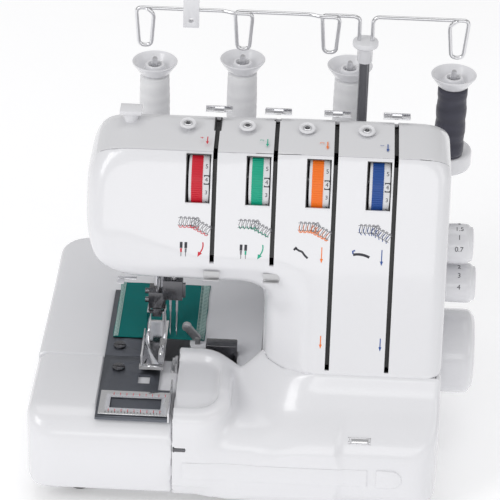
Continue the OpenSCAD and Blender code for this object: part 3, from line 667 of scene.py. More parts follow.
FRONT_CURVE = [(-131, 58), (-133.6, 47), (-133.2, 33), (-130.5, 22), (-126, SKIRT)]
cover_side = rounded([(-97.6, COVER_TOP), (-102.5, 97), (-110, 86), (-118.5, 77), (-126, 68), *FRONT_CURVE,
                      (-60, SKIRT), (-60, COVER_TOP)], [0, 30, 40, 40, 40, 40, 40, 30, 20, 3, 0, 0], 4)
shelf_side = rounded([(-49.3, 78), (-104, 77), (-122, 72), *FRONT_CURVE, (-49.3, SKIRT)],
                     [1, 60, 40, 40, 40, 30, 20, 3, 0], 6)
bed_side = rounded([(BED_SEAM, SKIRT), (BED_SEAM, BED), *arc(-106, 52, 28, 90, 180), (-126, SKIRT)],
                   [0, 0] + [0] * 11 + [4])


def plan_distance(x, y):
    flare = 1.8 * np.clip((60 - y) / 150, 0, 1) * (x < 0)
    return box_distance(x + flare, y, -166, SHELL_RIGHT, SHELL_FRONT, 130, 24)


def cover_distance(x, y, z):
    """The looper cover: bulging front, slanted left shoulder, shelf, round housing with a dish."""
    side = outline_distance(cover_side, y, z)
    d = soft_max(side, plan_distance(x, y), 5)
    shoulder = (x - 38) * -0.60 + (y + 97.6) * -0.56 + (z - COVER_TOP) * 0.57
    d = soft_max(d, shoulder, 10)
    d = np.maximum(d, z - COVER_TOP)
    shelf = soft_max(outline_distance(shelf_side, y, z), plan_distance(x, y), 6)
    d = soft_min(d, np.maximum(shelf, x - 60), 12)
    top = 92 - np.maximum(0, -(y + 96)) * 0.13
    plan = box_distance(x, y, -120, -16, -131, -41, 26)
    snail = np.maximum(soft_max(plan, z - top, 7), 30 - z)
    d = soft_min(d, snail, 9)
    dish = soft_max(box_distance(x, y, -100, -25.5, -117, -54, 17), (top - 5.5) - z, 5)
    d = soft_max(d, -dish, 3.5)
    d = np.maximum(d, -np.maximum(column_corner(x, y, z), -84.2 - y) - 0.3)
    return np.maximum(np.maximum(d, COVER_LEFT - x), -133.1 - y)


def build_cover():
    bm = cast(cover_distance, (COVER_LEFT, -134, SKIRT), (SHELL_RIGHT, -41, 110), 2.2)
    slice_at(bm, (0, 0, 60), (0, 0, 1), lambda c: c.y > -90)
    remove_faces(bm, lambda c: c.z < SKIRT + 0.6 or (c.x > 30 and c.y > -84.9)
                 or (c.y > -62 and c.z < 60 and c.x < 8) or (c.z > COVER_TOP - 0.2 and c.x > 6 and c.y > -97))
    obj = solidify(as_object("looper_cover_shell", bm, "white_plastic"), WALL)
    sharpen(settle(obj, "cover", "looper_cover", slot="white_plastic"), 40)


def front_bed_distance(x, y, z):
    d = soft_max(outline_distance(bed_side, y, z), plan_distance(x, y), 9)
    d = np.maximum(d, x - COVER_LEFT + 0.3)
    pocket = np.maximum(np.maximum(-116.3 - x, -124.3 - y), 77.8 - z)
    return np.maximum(d, -pocket)


def build_front_bed():
    bm = cast(front_bed_distance, (-168, -134, SKIRT), (COVER_LEFT, BED_SEAM, BED), 2.2)
    remove_faces(bm, lambda c: c.z < SKIRT + 0.6 or c.y > BED_SEAM - 0.3 or (c.x > -58.6 and c.y > -128))
    obj = sharpen(solidify(as_object("front_bed_shell", bm, "white_plastic"), WALL), 40)
    ribs = [block("rib", (-166.9, -113 + i, 29 + i * 10), (-164.3, -97 + i, 33 + i * 10), "soft_white_plastic",
                  1.2, 3) for i in range(5)]
    settle(join("bed_grip_ribs", ribs), "bed_cover", slot="soft_white_plastic")
    settle(obj, "bed_cover", "bed_front_cover", slot="white_plastic")


def rear_bed_distance(x, y, z):
    d = soft_max(plan_distance(x, y), z - BED, 5)
    tongue = np.maximum(np.maximum(-14.6 - x, x - 4.7), -49 - y)
    d = np.maximum(d, np.minimum(BED_SEAM + 0.3 - y, tongue))
    d = np.maximum(d, np.minimum(x - 4.7, 88.3 - y))
    well = np.maximum(box_distance(x, y, -53, -14.7, -80, -27.2, 2), 30 - z)
    d = soft_max(d, -well, 1.5)
    plates = np.maximum(box_distance(x, y, -116.3, -73, -60, 50, 1), 77.9 - z)
    d = np.maximum(d, -plates)
    throat = np.maximum(box_distance(x, y, -104, -52, -60, 12, 2), 40 - z)
    return np.maximum(d, -np.maximum(throat, z - 78))


def build_rear_bed():
    bm = cast(rear_bed_distance, (-168, -49, SKIRT), (SHELL_RIGHT, 130, BED), 2.6)
    for x in (40.7, 73.3, 90.7, 109.3):
        slice_at(bm, (x, 0, 0), (1, 0, 0), lambda c: c.y > 120 and 20 < c.z < 60)
    for z in (28.7, 51.3, 30.1, 43.9):
        slice_at(bm, (0, 0, z), (0, 0, 1), lambda c: c.y > 120 and 36 < c.x < 114)
    remove_faces(bm, lambda c: c.z < SKIRT + 0.6 or (c.y > 120 and (
        (40.7 < c.x < 73.3 and 28.7 < c.z < 51.3) or (90.7 < c.x < 109.3 and 30.1 < c.z < 43.9))))
    obj = solidify(as_object("rear_bed_shell", bm, "white_plastic"), 1.6)
    sharpen(settle(obj, "machine", "bed_rear_cover", slot="white_plastic"), 40)


def tray_distance(x, y, z):
    r = box_distance(x, y, -108, 146, 88.4, 134, 8)
    end = np.sqrt((x - 141.1) ** 2 + (y - 110) ** 2) - 21
    d = soft_max(np.minimum(r, end), np.abs(z - 181.5) - 7.5, 3)
    foot = np.maximum(box_distance(x, y, -60, 119, 86, 94, 2), np.abs(z - 162) - 13)
    d = soft_min(d, foot, 4)
    d = np.maximum(d, np.where(x < 139.6, 88.3 - y, -1e3))
    return np.maximum(np.maximum(d, x - 161.9), y - SHELL_BACK)


def build_tray():
    bm = cast(tray_distance, (-108, 78, 148), (163, 134, 190), 2.2)
    sharpen(settle(as_object("spool_tray_shell", bm, "white_plastic"), "machine", "spool_stand",
                   slot="white_plastic"), 40)


build_cover()
build_front_bed()
build_rear_bed()
build_tray()


# ---------------------------------------------------------------- things that repeat

def wire_up(tree, *pairs):
    for source, target in pairs:
        tree.links.new(source, target)


def tree_with(name, inputs):
    """A new geometry tree with named inputs; returns the tree and its input sockets."""
    tree = bpy.data.node_groups.new(name, "GeometryNodeTree")
    for label, kind, value in inputs:
        socket = tree.interface.new_socket(label, in_out="INPUT", socket_type=kind)
        if value is not None:
            socket.default_value = value
    tree.interface.new_socket("Geometry", in_out="OUTPUT", socket_type="NodeSocketGeometry")
    return tree, tree.nodes.new("NodeGroupInput").outputs


def finish_tree(tree, given, source):
    """Ends a tree in Realize Instances and Set Material."""
    real = tree.nodes.new("GeometryNodeRealizeInstances")
    paint = tree.nodes.new("GeometryNodeSetMaterial")
    end = tree.nodes.new("NodeGroupOutput")
    wire_up(tree, (source, real.inputs[0]), (real.outputs[0], paint.inputs["Geometry"]),
            (given["Material"], paint.inputs["Material"]), (paint.outputs[0], end.inputs[0]))
    return tree


def row_tree():
    """Copies of a piece in a straight row."""
    tree, given = tree_with("row_of_copies", [
        ("Piece", "NodeSocketObject", None), ("Count", "NodeSocketInt", 5),
        ("Start", "NodeSocketVector", None), ("Step", "NodeSocketVector", None),
        ("Material", "NodeSocketMaterial", None)])
    line = tree.nodes.new("GeometryNodeMeshLine")
    line.mode = "OFFSET"
    info = tree.nodes.new("GeometryNodeObjectInfo")
    place = tree.nodes.new("GeometryNodeInstanceOnPoints")
    wire_up(tree, (given["Count"], line.inputs["Count"]), (given["Start"], line.inputs["Start Location"]),
            (given["Step"], line.inputs["Offset"]), (given["Piece"], info.inputs["Object"]),
            (line.outputs[0], place.inputs["Points"]), (info.outputs["Geometry"], place.inputs["Instance"]))
    return finish_tree(tree, given, place.outputs[0])


def ring_tree():
    """Copies of a piece round an axis along X, each turned to face outwards."""
    tree, given = tree_with("ring_of_copies", [
        ("Piece", "NodeSocketObject", None), ("Count", "NodeSocketInt", 40),
        ("Radius", "NodeSocketFloat", 1.0), ("Centre", "NodeSocketVector", None),
        ("Material", "NodeSocketMaterial", None)])
    points = tree.nodes.new("GeometryNodePoints")
    index = tree.nodes.new("GeometryNodeInputIndex")
    part = tree.nodes.new("ShaderNodeMath")
    part.operation = "DIVIDE"
    angle = tree.nodes.new("ShaderNodeMath")
    angle.operation = "MULTIPLY"
    angle.inputs[1].default_value = 2 * math.pi
    turn = tree.nodes.new("ShaderNodeCombineXYZ")
    arm = tree.nodes.new("ShaderNodeCombineXYZ")
    spin = tree.nodes.new("ShaderNodeVectorRotate")
    spin.rotation_type = "X_AXIS"
    move = tree.nodes.new("ShaderNodeVectorMath")
    put = tree.nodes.new("GeometryNodeSetPosition")
    info = tree.nodes.new("GeometryNodeObjectInfo")
    place = tree.nodes.new("GeometryNodeInstanceOnPoints")
    wire_up(tree, (given["Count"], points.inputs["Count"]), (index.outputs[0], part.inputs[0]),
            (given["Count"], part.inputs[1]), (part.outputs[0], angle.inputs[0]),
            (angle.outputs[0], turn.inputs["X"]), (given["Radius"], arm.inputs["Z"]),
            (arm.outputs[0], spin.inputs["Vector"]), (angle.outputs[0], spin.inputs["Angle"]),
            (spin.outputs[0], move.inputs[0]), (given["Centre"], move.inputs[1]),
            (points.outputs[0], put.inputs["Geometry"]), (move.outputs[0], put.inputs["Position"]),
            (given["Piece"], info.inputs["Object"]), (put.outputs[0], place.inputs["Points"]),
            (info.outputs["Geometry"], place.inputs["Instance"]), (turn.outputs[0], place.inputs["Rotation"]))
    return finish_tree(tree, given, place.outputs[0])


ROW, RING = row_tree(), ring_tree()


def repeat(name, tree, piece, material, **values):
    """Runs a copying tree once and keeps its result as a plain mesh object."""
    host = linked(name, bpy.data.meshes.new(name))
    mod = host.modifiers.new("copies", "NODES")
    mod.node_group = tree
    values = {"Piece": piece, "Material": finish[material], **values}
    for item in tree.interface.items_tree:
        if item.in_out == "INPUT" and item.name in values:
            mod[item.identifier] = values[item.name]
    bpy.context.view_layer.update()
    mesh = applied(host).data
    bpy.data.objects.remove(piece)
    if finish[material].name not in [m.name for m in mesh.materials if m]:
        mesh.materials.clear()
        mesh.materials.append(finish[material])
    return host


def tube(path, radius, material, sides=12):
    """A round wire along a list of points."""
    curve = bpy.data.curves.new("wire", "CURVE")
    curve.dimensions = "3D"
    curve.bevel_depth = radius
    curve.bevel_resolution = sides // 4
    curve.use_fill_caps = True
    spline = curve.splines.new("POLY")
    spline.points.add(len(path) - 1)
    for p, c in zip(spline.points, path):
        p.co = (*c, 1)
    made = from_curve(curve, material)
    for p in made.data.polygons:
        p.use_smooth = True
    return made


def bent(points, radius):
    """A path of points in space with each inner corner turned into an arc."""
    path = [Vector(points[0])]
    for a, p, b in zip(points, points[1:], points[2:]):
        a, p, b = Vector(a), Vector(p), Vector(b)
        u, v = (a - p), (b - p)
        t = min(radius, u.length * 0.48, v.length * 0.48)
        s, e = p + u.normalized() * t, p + v.normalized() * t
        for k in range(9):
            w = k / 8
            path.append(s * (1 - w) ** 2 + p * 2 * w * (1 - w) + e * w * w)
    path.append(Vector(points[-1]))
    return path


# ---------------------------------------------------------------- tension dials

WINDOW_DOWN = 21.5             # middle of the dial windows, down from the roof edge
DIAL_AT = np.array(EDGE) + WINDOW_DOWN * down - 25.3 * out
FACE_ANGLE = math.atan2(out[1], out[0])


def on_dial(x, angle, r):
    """A point of a dial drum: angle 0 faces the middle of its window, positive is up."""
    a = FACE_ANGLE - angle
    return Vector((x, DIAL_AT[0] + r * math.cos(a), DIAL_AT[1] + r * math.sin(a)))


def dial_frame(x, angle, r):
    """A matrix that lays flat work on the drum, its up along the drum."""
    o = on_dial(x, angle, r)
    return laid_on(o, (on_dial(x, angle, r + 1) - o).normalized())


def build_dial(i, band):
    x0 = SLOTS[i] - 3 - 9 - 7.5 + 0.6
    centre = (0, DIAL_AT[0], DIAL_AT[1])
    core = [(3.1, 0), (26.9, 0), (27.5, 0.4), (27.5, 14.6), (27.2, 15), (23, 15), (23, 10.5), (3.1, 10.5), (3.1, 0)]
    tyre = [(20, 1.9), (27.3, 1.9), (27.6, 2.2), (27.6, 10.2), (27.3, 10.5), (20, 10.5)]
    pieces = [lathe("ring", [(r, x0 + h) for r, h in profile], material, centre, "X", 120)
              for profile, material in ((core, "dial_white"), (tyre, band))]
    rib = block("rib", (x0 + 2.0, -0.42, -0.35), (x0 + 10.4, 0.42, 0.32), band, 0.16, 2)
    pieces.append(repeat("ribs", RING, rib, band, Count=100, Radius=27.66, Centre=centre))
    strip = x0 + 13.1
    step = math.radians(20.5)
    for k in range(-4, 5):
        pieces.append(text_mesh(str(4 + k), 4.5, "ink", dial_frame(strip, k * step, 27.52)))
    for k in (-1, 1):
        for lo, hi, t in ((-1.9, 1.9, 0.8), (-1.9, -1.3, 1.3), (1.3, 1.9, 1.3)):
            a, b = (-t, 0) if k > 0 else (0, t)
            bar = block("bar", (lo, a, 0), (hi, b, 0.05), "ink")
            bar.data.transform(dial_frame(strip, k * math.radians(7.4), 27.5))
            pieces.append(bar)
    drum = join(f"tension_drum_{i + 1}", pieces)
    for p in drum.data.polygons:
        p.use_smooth = True
    sharpen(drum, 30)
    settle(drum, f"dial_{i + 1}", f"tension_dial_{i + 1}", slot=band)


BANDS = ("red", "green", "orange", "blue")
for i, band in enumerate(BANDS):
    build_dial(i, band)


def panel_frame(x, s, d=0.0):
    """Lays flat work on the front panel, up towards the roof."""
    o = on_panel(x, s, d)
    return laid_on(o, Vector((0, *(out if s <= PANEL_LENGTH else lower_out))))


def window_linings():
    """Black walls round each window, painted shadow for the shade in the gap above and beside each drum, and the
    pale lip under it.
    """
    shadow_walls, lips = [], []
    for x in SLOTS:
        x0, x1, u0, u1 = x - 21, x - 3, -18.5, 18.5
        m = panel_frame(0, WINDOW_DOWN)
        for lo, hi in (((x0 - 0.1, u1 - 0.8, -4.5), (x1 + 0.1, u1 + 0.1, -0.25)),
                       ((x0 - 0.1, u0, -4.5), (x0 + 0.8, u1, -0.25)),
                       ((x1 - 0.3, u0, -4.5), (x1 + 0.1, u1, -0.25))):
            # The black plastic here is painted shadow for the gap round the drum.
            wall = block("wall", lo, hi, "black_plastic")
            wall.data.transform(m)
            shadow_walls.append(wall)
        lip = block("lip", (x0 - 0.2, u0 - 0.5, -3.0), (x1 + 0.2, u0 + 0.9, 0.25), "white_plastic", 0.3, 3)
        lip.data.transform(m)
        lips.append(lip)
    settle(join("window_linings", shadow_walls), "machine", slot="black_plastic")
    settle(join("window_lips", lips), "machine", slot="white_plastic")


window_linings()


# ---------------------------------------------------------------- printed marks on the panel

def ribbon(points, width, to_space):
    """A thin printed line through flat points, laid on a surface."""
    bm = bmesh.new()
    pts = [Vector((*p, 0)) for p in points]
    rows = []
    for i, p in enumerate(pts):
        a = pts[max(i - 1, 0)]
        b = pts[min(i + 1, len(pts) - 1)]
        t = (b - a).normalized() * width / 2
        n = Vector((-t.y, t.x, 0))
        rows.append([bm.verts.new(to_space @ (p + n)), bm.verts.new(to_space @ (p - n))])
    for r, q in zip(rows, rows[1:]):
        bm.faces.new((r[0], r[1], q[1], q[0]))
    for f in bm.faces:
        f.normal_update()
    return bm


def flat_shape(points, to_space):
    bm = bmesh.new()
    bm.faces.new([bm.verts.new(to_space @ Vector((*p, 0))) for p in points])
    return bm


class Print:
    """Collects printed marks of each ink, then makes one piece of each."""

    def __init__(self):
        self.inks = {}

    def add(self, ink, bm):
        mesh = bpy.data.meshes.new("mark")
        bm.to_mesh(mesh)
        bm.free()
        mesh.materials.append(finish[ink])
        self.inks.setdefault(ink, []).append(linked("mark", mesh))

    def line(self, ink, points, width, space):
        self.add(ink, ribbon(points, width, space))

    def shape(self, ink, points, space):
        self.add(ink, flat_shape(points, space))

    def words(self, ink, words, size, space):
        self.inks.setdefault(ink, []).append(text_mesh(words, size, ink, space, 0.0))

    def done(self, prefix="print"):
        for ink, marks in self.inks.items():
            settle(join(f"{prefix}_{ink}", marks), "machine")


def arrow(printer, ink, x, s0, s1, head=2.0, width=0.9):
    m = panel_frame(x, (s0 + s1) / 2, 0.06)
    h = (s1 - s0) / 2
    printer.shape(ink, [(-width / 2, h), (-width / 2, -h + 3), (width / 2, -h + 3), (width / 2, h)], m)
    printer.shape(ink, [(-head / 2, -h + 3.4), (0, -h), (head / 2, -h + 3.4)], m)


def stitch_sample(printer, ink, x, s, kind):
    """A small drawing of overlock stitches: two layers of loops, one laid askew over the other."""
    for layer, (du, dv, turn) in enumerate(((-4.5, 1.2, 0.0), (4.0, -1.6, -0.45))):
        m = panel_frame(x + du, s - dv, 0.06 + 0.03 * layer) @ Matrix.Rotation(turn, 4, "Z")
        for k in range(5):
            u = -6.4 + k * 3.0
            loop = [(0, 3.6), (0.4, 4.6), (1.6, 4.6), (1.9, 3.4), (1.4, -1.6), (0.3, -2.0)]
            printer.line("grey_ink", [(u + a, b) for a, b in loop], 0.42, m)
            printer.line("grey_ink", [(u + 1.0, 4.4), (u - 0.6, 0.4), (u + 0.8, -2.6)], 0.42, m)
            if kind in (0, 2):
                printer.line(ink, [(u - 0.7, -1.8), (u + 0.2, -3.4), (u + 1.7, -3.2), (u + 2.1, -1.8)], 0.62, m)
            if kind == 1:
                printer.line(ink, [(u - 0.5, -0.6), (u + 0.4, -2.6), (u + 2.2, -0.8)], 0.6, m)
            if kind in (2, 3):
                printer.line(ink, [(u + 0.2, 2.8), (u - 0.4, -0.6), (u + 1.4, -3.4)], 0.6, m)
        printer.line("grey_ink", [(-7.6, 3.7), (8.4, 3.4)], 0.36, m)
        printer.line("grey_ink", [(-7.8, -1.6), (8.2, -2.0)], 0.36, m)


def swoosh(printer, ink, x, s):
    """A curved arrow that follows the thread."""
    m = panel_frame(x, s, 0.06)
    pts = [(1.6 + 0.5 * math.sin(k / 10 * math.pi) - 1.9 * (k / 10) ** 2, 5.4 - 0.8 * k) for k in range(11)]
    printer.line(ink, pts, 0.95, m)
    printer.shape(ink, [(-1.7, -1.6), (-2.0, -5.6), (1.3, -3.0)], m)


def small_icon(printer, ink, x, s, kind):
    """Two needles, or the outline of a looper."""
    m = panel_frame(x, s, 0.06)
    if kind < 2:
        for u in (-1.7, 1.7):
            printer.shape("ink", [(u - 1, 5), (u - 1, 0.5), (u + 1, 0.5), (u + 1, 5)], m)
            printer.shape(ink if (u > 0) == (kind == 1) else "grey_ink",
                          [(u - 0.75, 0.3), (u - 0.6, -2.6), (u + 0.6, -2.6), (u + 0.75, 0.3)], m)
            printer.line("ink", [(u, -2.4), (u, -5.6)], 0.4, m)
    elif kind == 2:
        pts = [(-5 + k * 0.7, 3.4 - 0.035 * k ** 2 + 0.3 * math.sin(k)) for k in range(15)]
        printer.line("ink", pts, 1.5, m)
        printer.line("ink", [(-5.5, 2.6), (-3.5, 4.8)], 1.5, m)
    else:
        pts = [(-6 + k * 0.8, 1.5 - 0.02 * (k - 5) ** 2) for k in range(16)]
        printer.line("ink", pts, 1.9, m)
        printer.line(ink, [(-6, 1.5), (-6.4, 3.6), (-4.6, 4.2)], 1.2, m)


def print_panel():
    printer = Print()
    for i, (ink, x) in enumerate(zip(BANDS, SLOTS)):
        stitch_sample(printer, ink, x - 13.5, 55.5, i)
        small_icon(printer, ink, x - 21 - (1.5 if i > 1 else 0), 73.5, i)
        if i < 2:
            swoosh(printer, ink, x - 8.5, 73.5)
        else:
            arrow(printer, ink, x - 7.5, 68, 80, 2.4, 0.75)
            arrow(printer, ink, x - 5.5, PANEL_LENGTH + 50, PANEL_LENGTH + 60, 2.2, 0.8)
    printer.done()


print_panel()


# ---------------------------------------------------------------- dials, wheel and stand

def side_dial(name, node, x1, z, body, numbers):
    """A numbered push-on dial on the right side, slightly barrelled."""
    r = 15.5
    profile = [(3.9, 130.5), (3.9, 139.8), (r - 1.2, 139.8), (r - 0.5, 140.6), (r - 0.15, 146)]
    profile += [(r - a, x1 - b) for a, b in ((0.1, 8), (0.35, 4.2), (1.0, 3.2), (1.9, 2.6), (2.3, 1.6), (2.6, 0.5),
                                             (3.8, 0), (7, 0.05), (7.6, 0.8), (r, 1.0))]
    pieces = [lathe(name, profile, "white_plastic", (0, 0, z), "X", 96)]
    for value, degrees in numbers:
        a = math.radians(degrees)
        normal = Vector((0, -math.cos(a), math.sin(a)))
        spot = Vector(((SHELL_RIGHT + x1) / 2, 0, z)) + normal * (r - 0.12)
        pieces.append(text_mesh(value, 5.4, "ink", laid_on(spot, normal), 0.05))
    settle(join(name + "_piece", pieces), body, node, slot="white_plastic")


side_dial("stitch_length_knob", "stitch_length_dial", 165, 133, "stitch_dial",
          [("2", 82), ("3", 52), ("4", 18), ("1", 112)])
side_dial("differential_knob", "differential_dial", 161, 168, "feed_dial",
          [("1.5", 76), ("1", 48), ("0.7", 14), ("2", 106)])

wheel = [(5.0, 142), (29, 142), (29, 140.4), (31.4, 140), (32.4, 140.8), (32.75, 143), (33.0, 150), (33.0, 157),
         (32.7, 162.5), (31.9, 164.4), (30.6, 165.6), (29.4, 166.2), (28.2, 167.4), (26.5, 168), (24, 167.9),
         (22.5, 166.6), (8.5, 166.2), (7.5, 167.1), (5.0, 167.2)]
settle(lathe("handwheel_piece", wheel, "white_plastic", (0, 6, 66), "X", 128), "wheel", "handwheel",
       slot="white_plastic")


SPOOLS = [(-89.4, 102.4), (-21.4, 112.0), (62.4, 109.0), (143.1, 101.0)]
TRAY = 189.0


def spool(at, finish_name, bulges):
    """A cone-wound spool: thread on a thin core, with the layers' soft steps."""
    z0 = TRAY + 0.4
    profile = [(4.0, z0), (11.0, z0), (11.2, z0 + 0.8), (11.0, z0 + 1.6)]
    for k in range(61):
        t = k / 60
        r = 11.35 + 0.5 * math.sin(t * math.pi) + bulges * 0.22 * math.sin(t * 21) + 0.08 * math.sin(t * 57)
        profile.append((min(r, 12.0), z0 + 2 + t * 55.5))
    profile += [(11.2, z0 + 58.2), (9.5, z0 + 59.2), (4.0, z0 + 59.6), (4.0, z0)]
    return lathe("spool", profile, finish_name, (*at, 0))


whites = [spool(at, "thread_white", 0.15) for at in SPOOLS[:3]]
settle(join("white_spools", whites), "machine", "thread_spools_white", slot="thread_white")
settle(join("grey_spool", [spool(SPOOLS[3], "thread_grey", 1.6)]), "machine", "thread_spool_grey",
       slot="thread_grey")


def spool_caps():
    """Flared caps on the spools, each with four fins round its socket."""
    z = TRAY + 60.7
    cone = [(3.9, -10), (4.4, -9.6), (4.4, -0.1), (10.6, 0), (11.3, 0.3), (12.4, 1.5), (16.6, 7.6), (17.5, 8.9),
            (17.7, 9.8), (17.3, 10.2), (16.6, 9.9), (15.4, 8.6), (11.6, 3.0), (10.2, 1.8), (8.8, 1.6), (7.9, 2.0),
            (7.4, 6.4), (6.9, 7.2), (5.6, 7.4), (5.2, 6.9), (4.9, 2.4), (3.0, 2.2), (2.4, 1.8), (2.4, -9.8),
            (3.9, -10)]
    made = []
    for x, y in SPOOLS:
        made.append(lathe("cap", cone, "white_plastic", (x, y, z)))
        fin = block("fin", (-0.45, 3.0, 2.0), (0.45, 7.2, 6.0), "white_plastic", 0.15)
        for k in range(4):
            copy = linked("fin", fin.data.copy())
            copy.data.transform(Matrix.Translation((x, y, z)) @ Matrix.Rotation(k * math.pi / 2 + 0.6, 4, "Z"))
            made.append(copy)
        bpy.data.objects.remove(fin)
    settle(join("spool_cap_cones", made), "machine", "spool_caps", slot="white_plastic")


spool_caps()
pin_side = [(0, 182), (2.1, 182), (2.1, 261), (1.9, 262.3), (1.2, 263), (0, 263.1)]
pins = [lathe("pin", pin_side, "chrome", (*at, 0), "Z", 32) for at in SPOOLS]
settle(join("spool_pin_rods", pins), "machine", "spool_pins", slot="chrome")

MAST = (73, 79, 0)
tube_profile = [(4.15, 124), (5.3, 124), (5.3, 214.4), (5.1, 215.6), (4.6, 216), (4.15, 215.8), (4.15, 124)]
rod_profile = [(0, 184), (4.0, 184), (4.0, 278.6), (0, 278.6)]
cap = [(0, 279.1), (5.4, 279.1), (6.0, 280), (6.0, 290.4), (6.6, 291.6), (9.2, 292.4), (9.9, 293.2), (9.9, 296.0),
       (9.4, 296.8), (8.4, 297), (0, 297)]
for name, profile, material, steps, body, node, slot in (
        ("mast_outer_tube", tube_profile, "aluminium", 64, "machine", "mast_outer", "aluminium"),
        ("mast_inner_tube", rod_profile, "mast_metal", 48, "mast", "mast_inner", "aluminium"),
        ("mast_cap_piece", cap, "white_plastic", 64, "mast", "mast_cap", "white_plastic")):
    settle(lathe(name, profile, material, MAST, "Z", steps), body, node, slot=slot)


def guide_wires():
    """The two bent wires: each guide is a hanging turn that the bar passes over."""
    y, z, deep, near = MAST[1], 317, 285.5, MAST[1] - 3.4
    left = [(68, y, 292), (68, y, z - 2), (64, y, z)]
    for x in (46, -20, -95):
        left += [(x + 9, y, z), (x - 6.8, y, z), (x - 4.6, y, deep), (x + 4.6, y, deep)]
        if x > -95:
            left += [(x + 6.8, near, z), (x - 8, near, z), (x - 15, y, z)]
        else:
            left += [(x + 6.8, y - 2.6, z - 3.4), (x + 1.5, near, z + 1.2)]
    right = [(78, y, 292), (78, y, z - 3), (81, y, z), (134, y, z), (150.4, y, z), (147.6, y, deep),
             (138.4, y, deep), (135.8, y - 2.6, z - 3.4), (141.5, near, z + 1.2)]
    wires = [tube(bent(path, 4.4), 1.5, "chrome") for path in (left, right)]
    settle(join("guide_wire_pair", wires), "mast", "guide_wires", slot="chrome")


guide_wires()

# ---------------------------------------------------------------- roof fittings

ROOF_RISE, ROOF_RUN = 7.4, 44.0


def roof_at(y):
    return EDGE[1] + (y - EDGE[0]) * ROOF_RISE / ROOF_RUN


def eyelets():
    """Thread eyelets on the roof: a domed white collar round a plated ring."""
    dome = [(2.7, -4), (2.7, 0.2), (6.1, 0.15), (6.3, 0.7), (6.0, 1.5), (5.2, 1.9), (4.2, 1.7), (3.4, 0.9),
            (2.8, 0.3), (2.7, -4)]
    bead = [(1.5, -3), (2.9, -3), (3.2, 0.9), (3.0, 1.3), (2.4, 1.4), (1.8, 1.0), (1.5, 0.2), (1.5, -3)]
    rings, collars = [], []
    tilt = Matrix.Rotation(math.radians(9.5), 4, "X")
    for x in SLOTS:
        m = Matrix.Translation((x - 22, -10, roof_at(-10))) @ tilt
        collar = lathe("collar", dome, "white_plastic", (0, 0, 0), "Z", 48)
        ring = lathe("ring", bead, "chrome", (0, 0, 0), "Z", 40)
        bar = block("bar", (-2.6, -0.5, 0.4), (2.6, 0.5, 1.1), "dark_metal", 0.2)
        for piece, group in ((collar, collars), (ring, rings), (bar, rings)):
            piece.data.transform(m)
            group.append(piece)
    settle(join("eyelet_collars", collars), "machine", "thread_eyelets", slot="white_plastic")
    settle(join("eyelet_rings", rings), "machine", slot="chrome")


eyelets()


def roof_clips():
    """Folded sheet-metal thread guides on the roof crest."""
    made = []
    for x in SLOTS:
        side = [(4.8, 270.1), (9.6, 270.4), (9.75, 273.2), (9.2, 273.3), (9.0, 271.1), (4.8, 270.9)]
        bm = bmesh.new()
        a = [bm.verts.new((x - 10, u, v)) for u, v in side]
        b = [bm.verts.new((x + 10, u, v)) for u, v in side]
        bm.faces.new(a)
        bm.faces.new(list(reversed(b)))
        for k in range(len(side)):
            j = (k + 1) % len(side)
            bm.faces.new((a[j], a[k], b[k], b[j]))
        bmesh.ops.recalc_face_normals(bm, faces=bm.faces)
        made.append(applied(bevel(as_object("clip", bm, "chrome", False), 0.18)))
        made.append(block("tongue", (x + 3.6, 4.7, 270.8), (x + 10, 7.4, 272.3), "chrome", 0.3))
        made.append(block("foot", (x - 10, 5.0, 270.8), (x - 3.4, 7.0, 271.5), "chrome", 0.25))
    settle(join("roof_clip_plates", made), "machine", "top_guide_clips", slot="chrome")


roof_clips()


def roof_frame(x, y, d=0.08):
    normal = Vector((0, -ROOF_RISE, ROOF_RUN)).normalized()
    return laid_on(Vector((x, y, roof_at(y))) + normal * d, normal)


def roof_marks():
    """An arrow and a turned digit beside each thread path."""
    printer = Print()
    for ink, x, digit in zip(BANDS, SLOTS, "4321"):
        m = roof_frame(x - 6.5, -28)
        printer.shape(ink, [(-0.4, 4.2), (-0.4, -1.6), (0.4, -1.6), (0.4, 4.2)], m)
        printer.shape(ink, [(-1.2, -1.3), (0, -4.6), (1.2, -1.3)], m)
        turned = roof_frame(x - 10.5, -25.4) @ Matrix.Rotation(math.radians(90), 4, "Z")
        printer.words(ink, digit, 4.2, turned)
    printer.done(prefix="roof_print")


roof_marks()

# ---------------------------------------------------------------- plated and blackened parts

EASED = dict(presser_ankle=0.4, needle_clamp=0.5, arm_thread_guides=0.2, thread_cutter=0.08, looper_guard=0.9,
             upper_looper=0.5, lower_looper=0.3, lifter_lever=1.2, needle_plate=0.3, front_plate=0.3,
             plate_screws=0.12, seam_guide=0.18, feed_dogs=0.1, upper_knife=0.25, lower_knife=0.2,
             pressure_screw=0.5, wire_tab=0.6, power_inlet=0.4, power_switch=0.8, presser_foot=0.2,
             base_pan=0.8, cover_latch=0.8, rubber_feet=0.8, motor=0.6)
for node, width in EASED.items():
    eased(node, width)


# ---------------------------------------------------------------- seam guide ticks, cloth, cover details

def guide_ticks():
    """Red and black graduations along both long sides of the seam guide."""
    z = 81.63
    groups = []
    for ink, y, count, x, step, length in (("red", -116.2, 9, -106.5, 4.8, 1.6),
                                           ("red", -95.4, 9, -104.0, 4.8, 1.6),
                                           ("ink", -118.6, 18, -108.6, 2.4, 0.9)):
        tick = block("tick", (-0.22, -length, -0.02), (0.22, length, 0.02), ink)
        groups.append(repeat("ticks", ROW, tick, ink, Count=count, Start=(x, y, z), Step=(step, 0.0, 0.0)))
    settle(join("guide_graduations", groups), "guide")


guide_ticks()


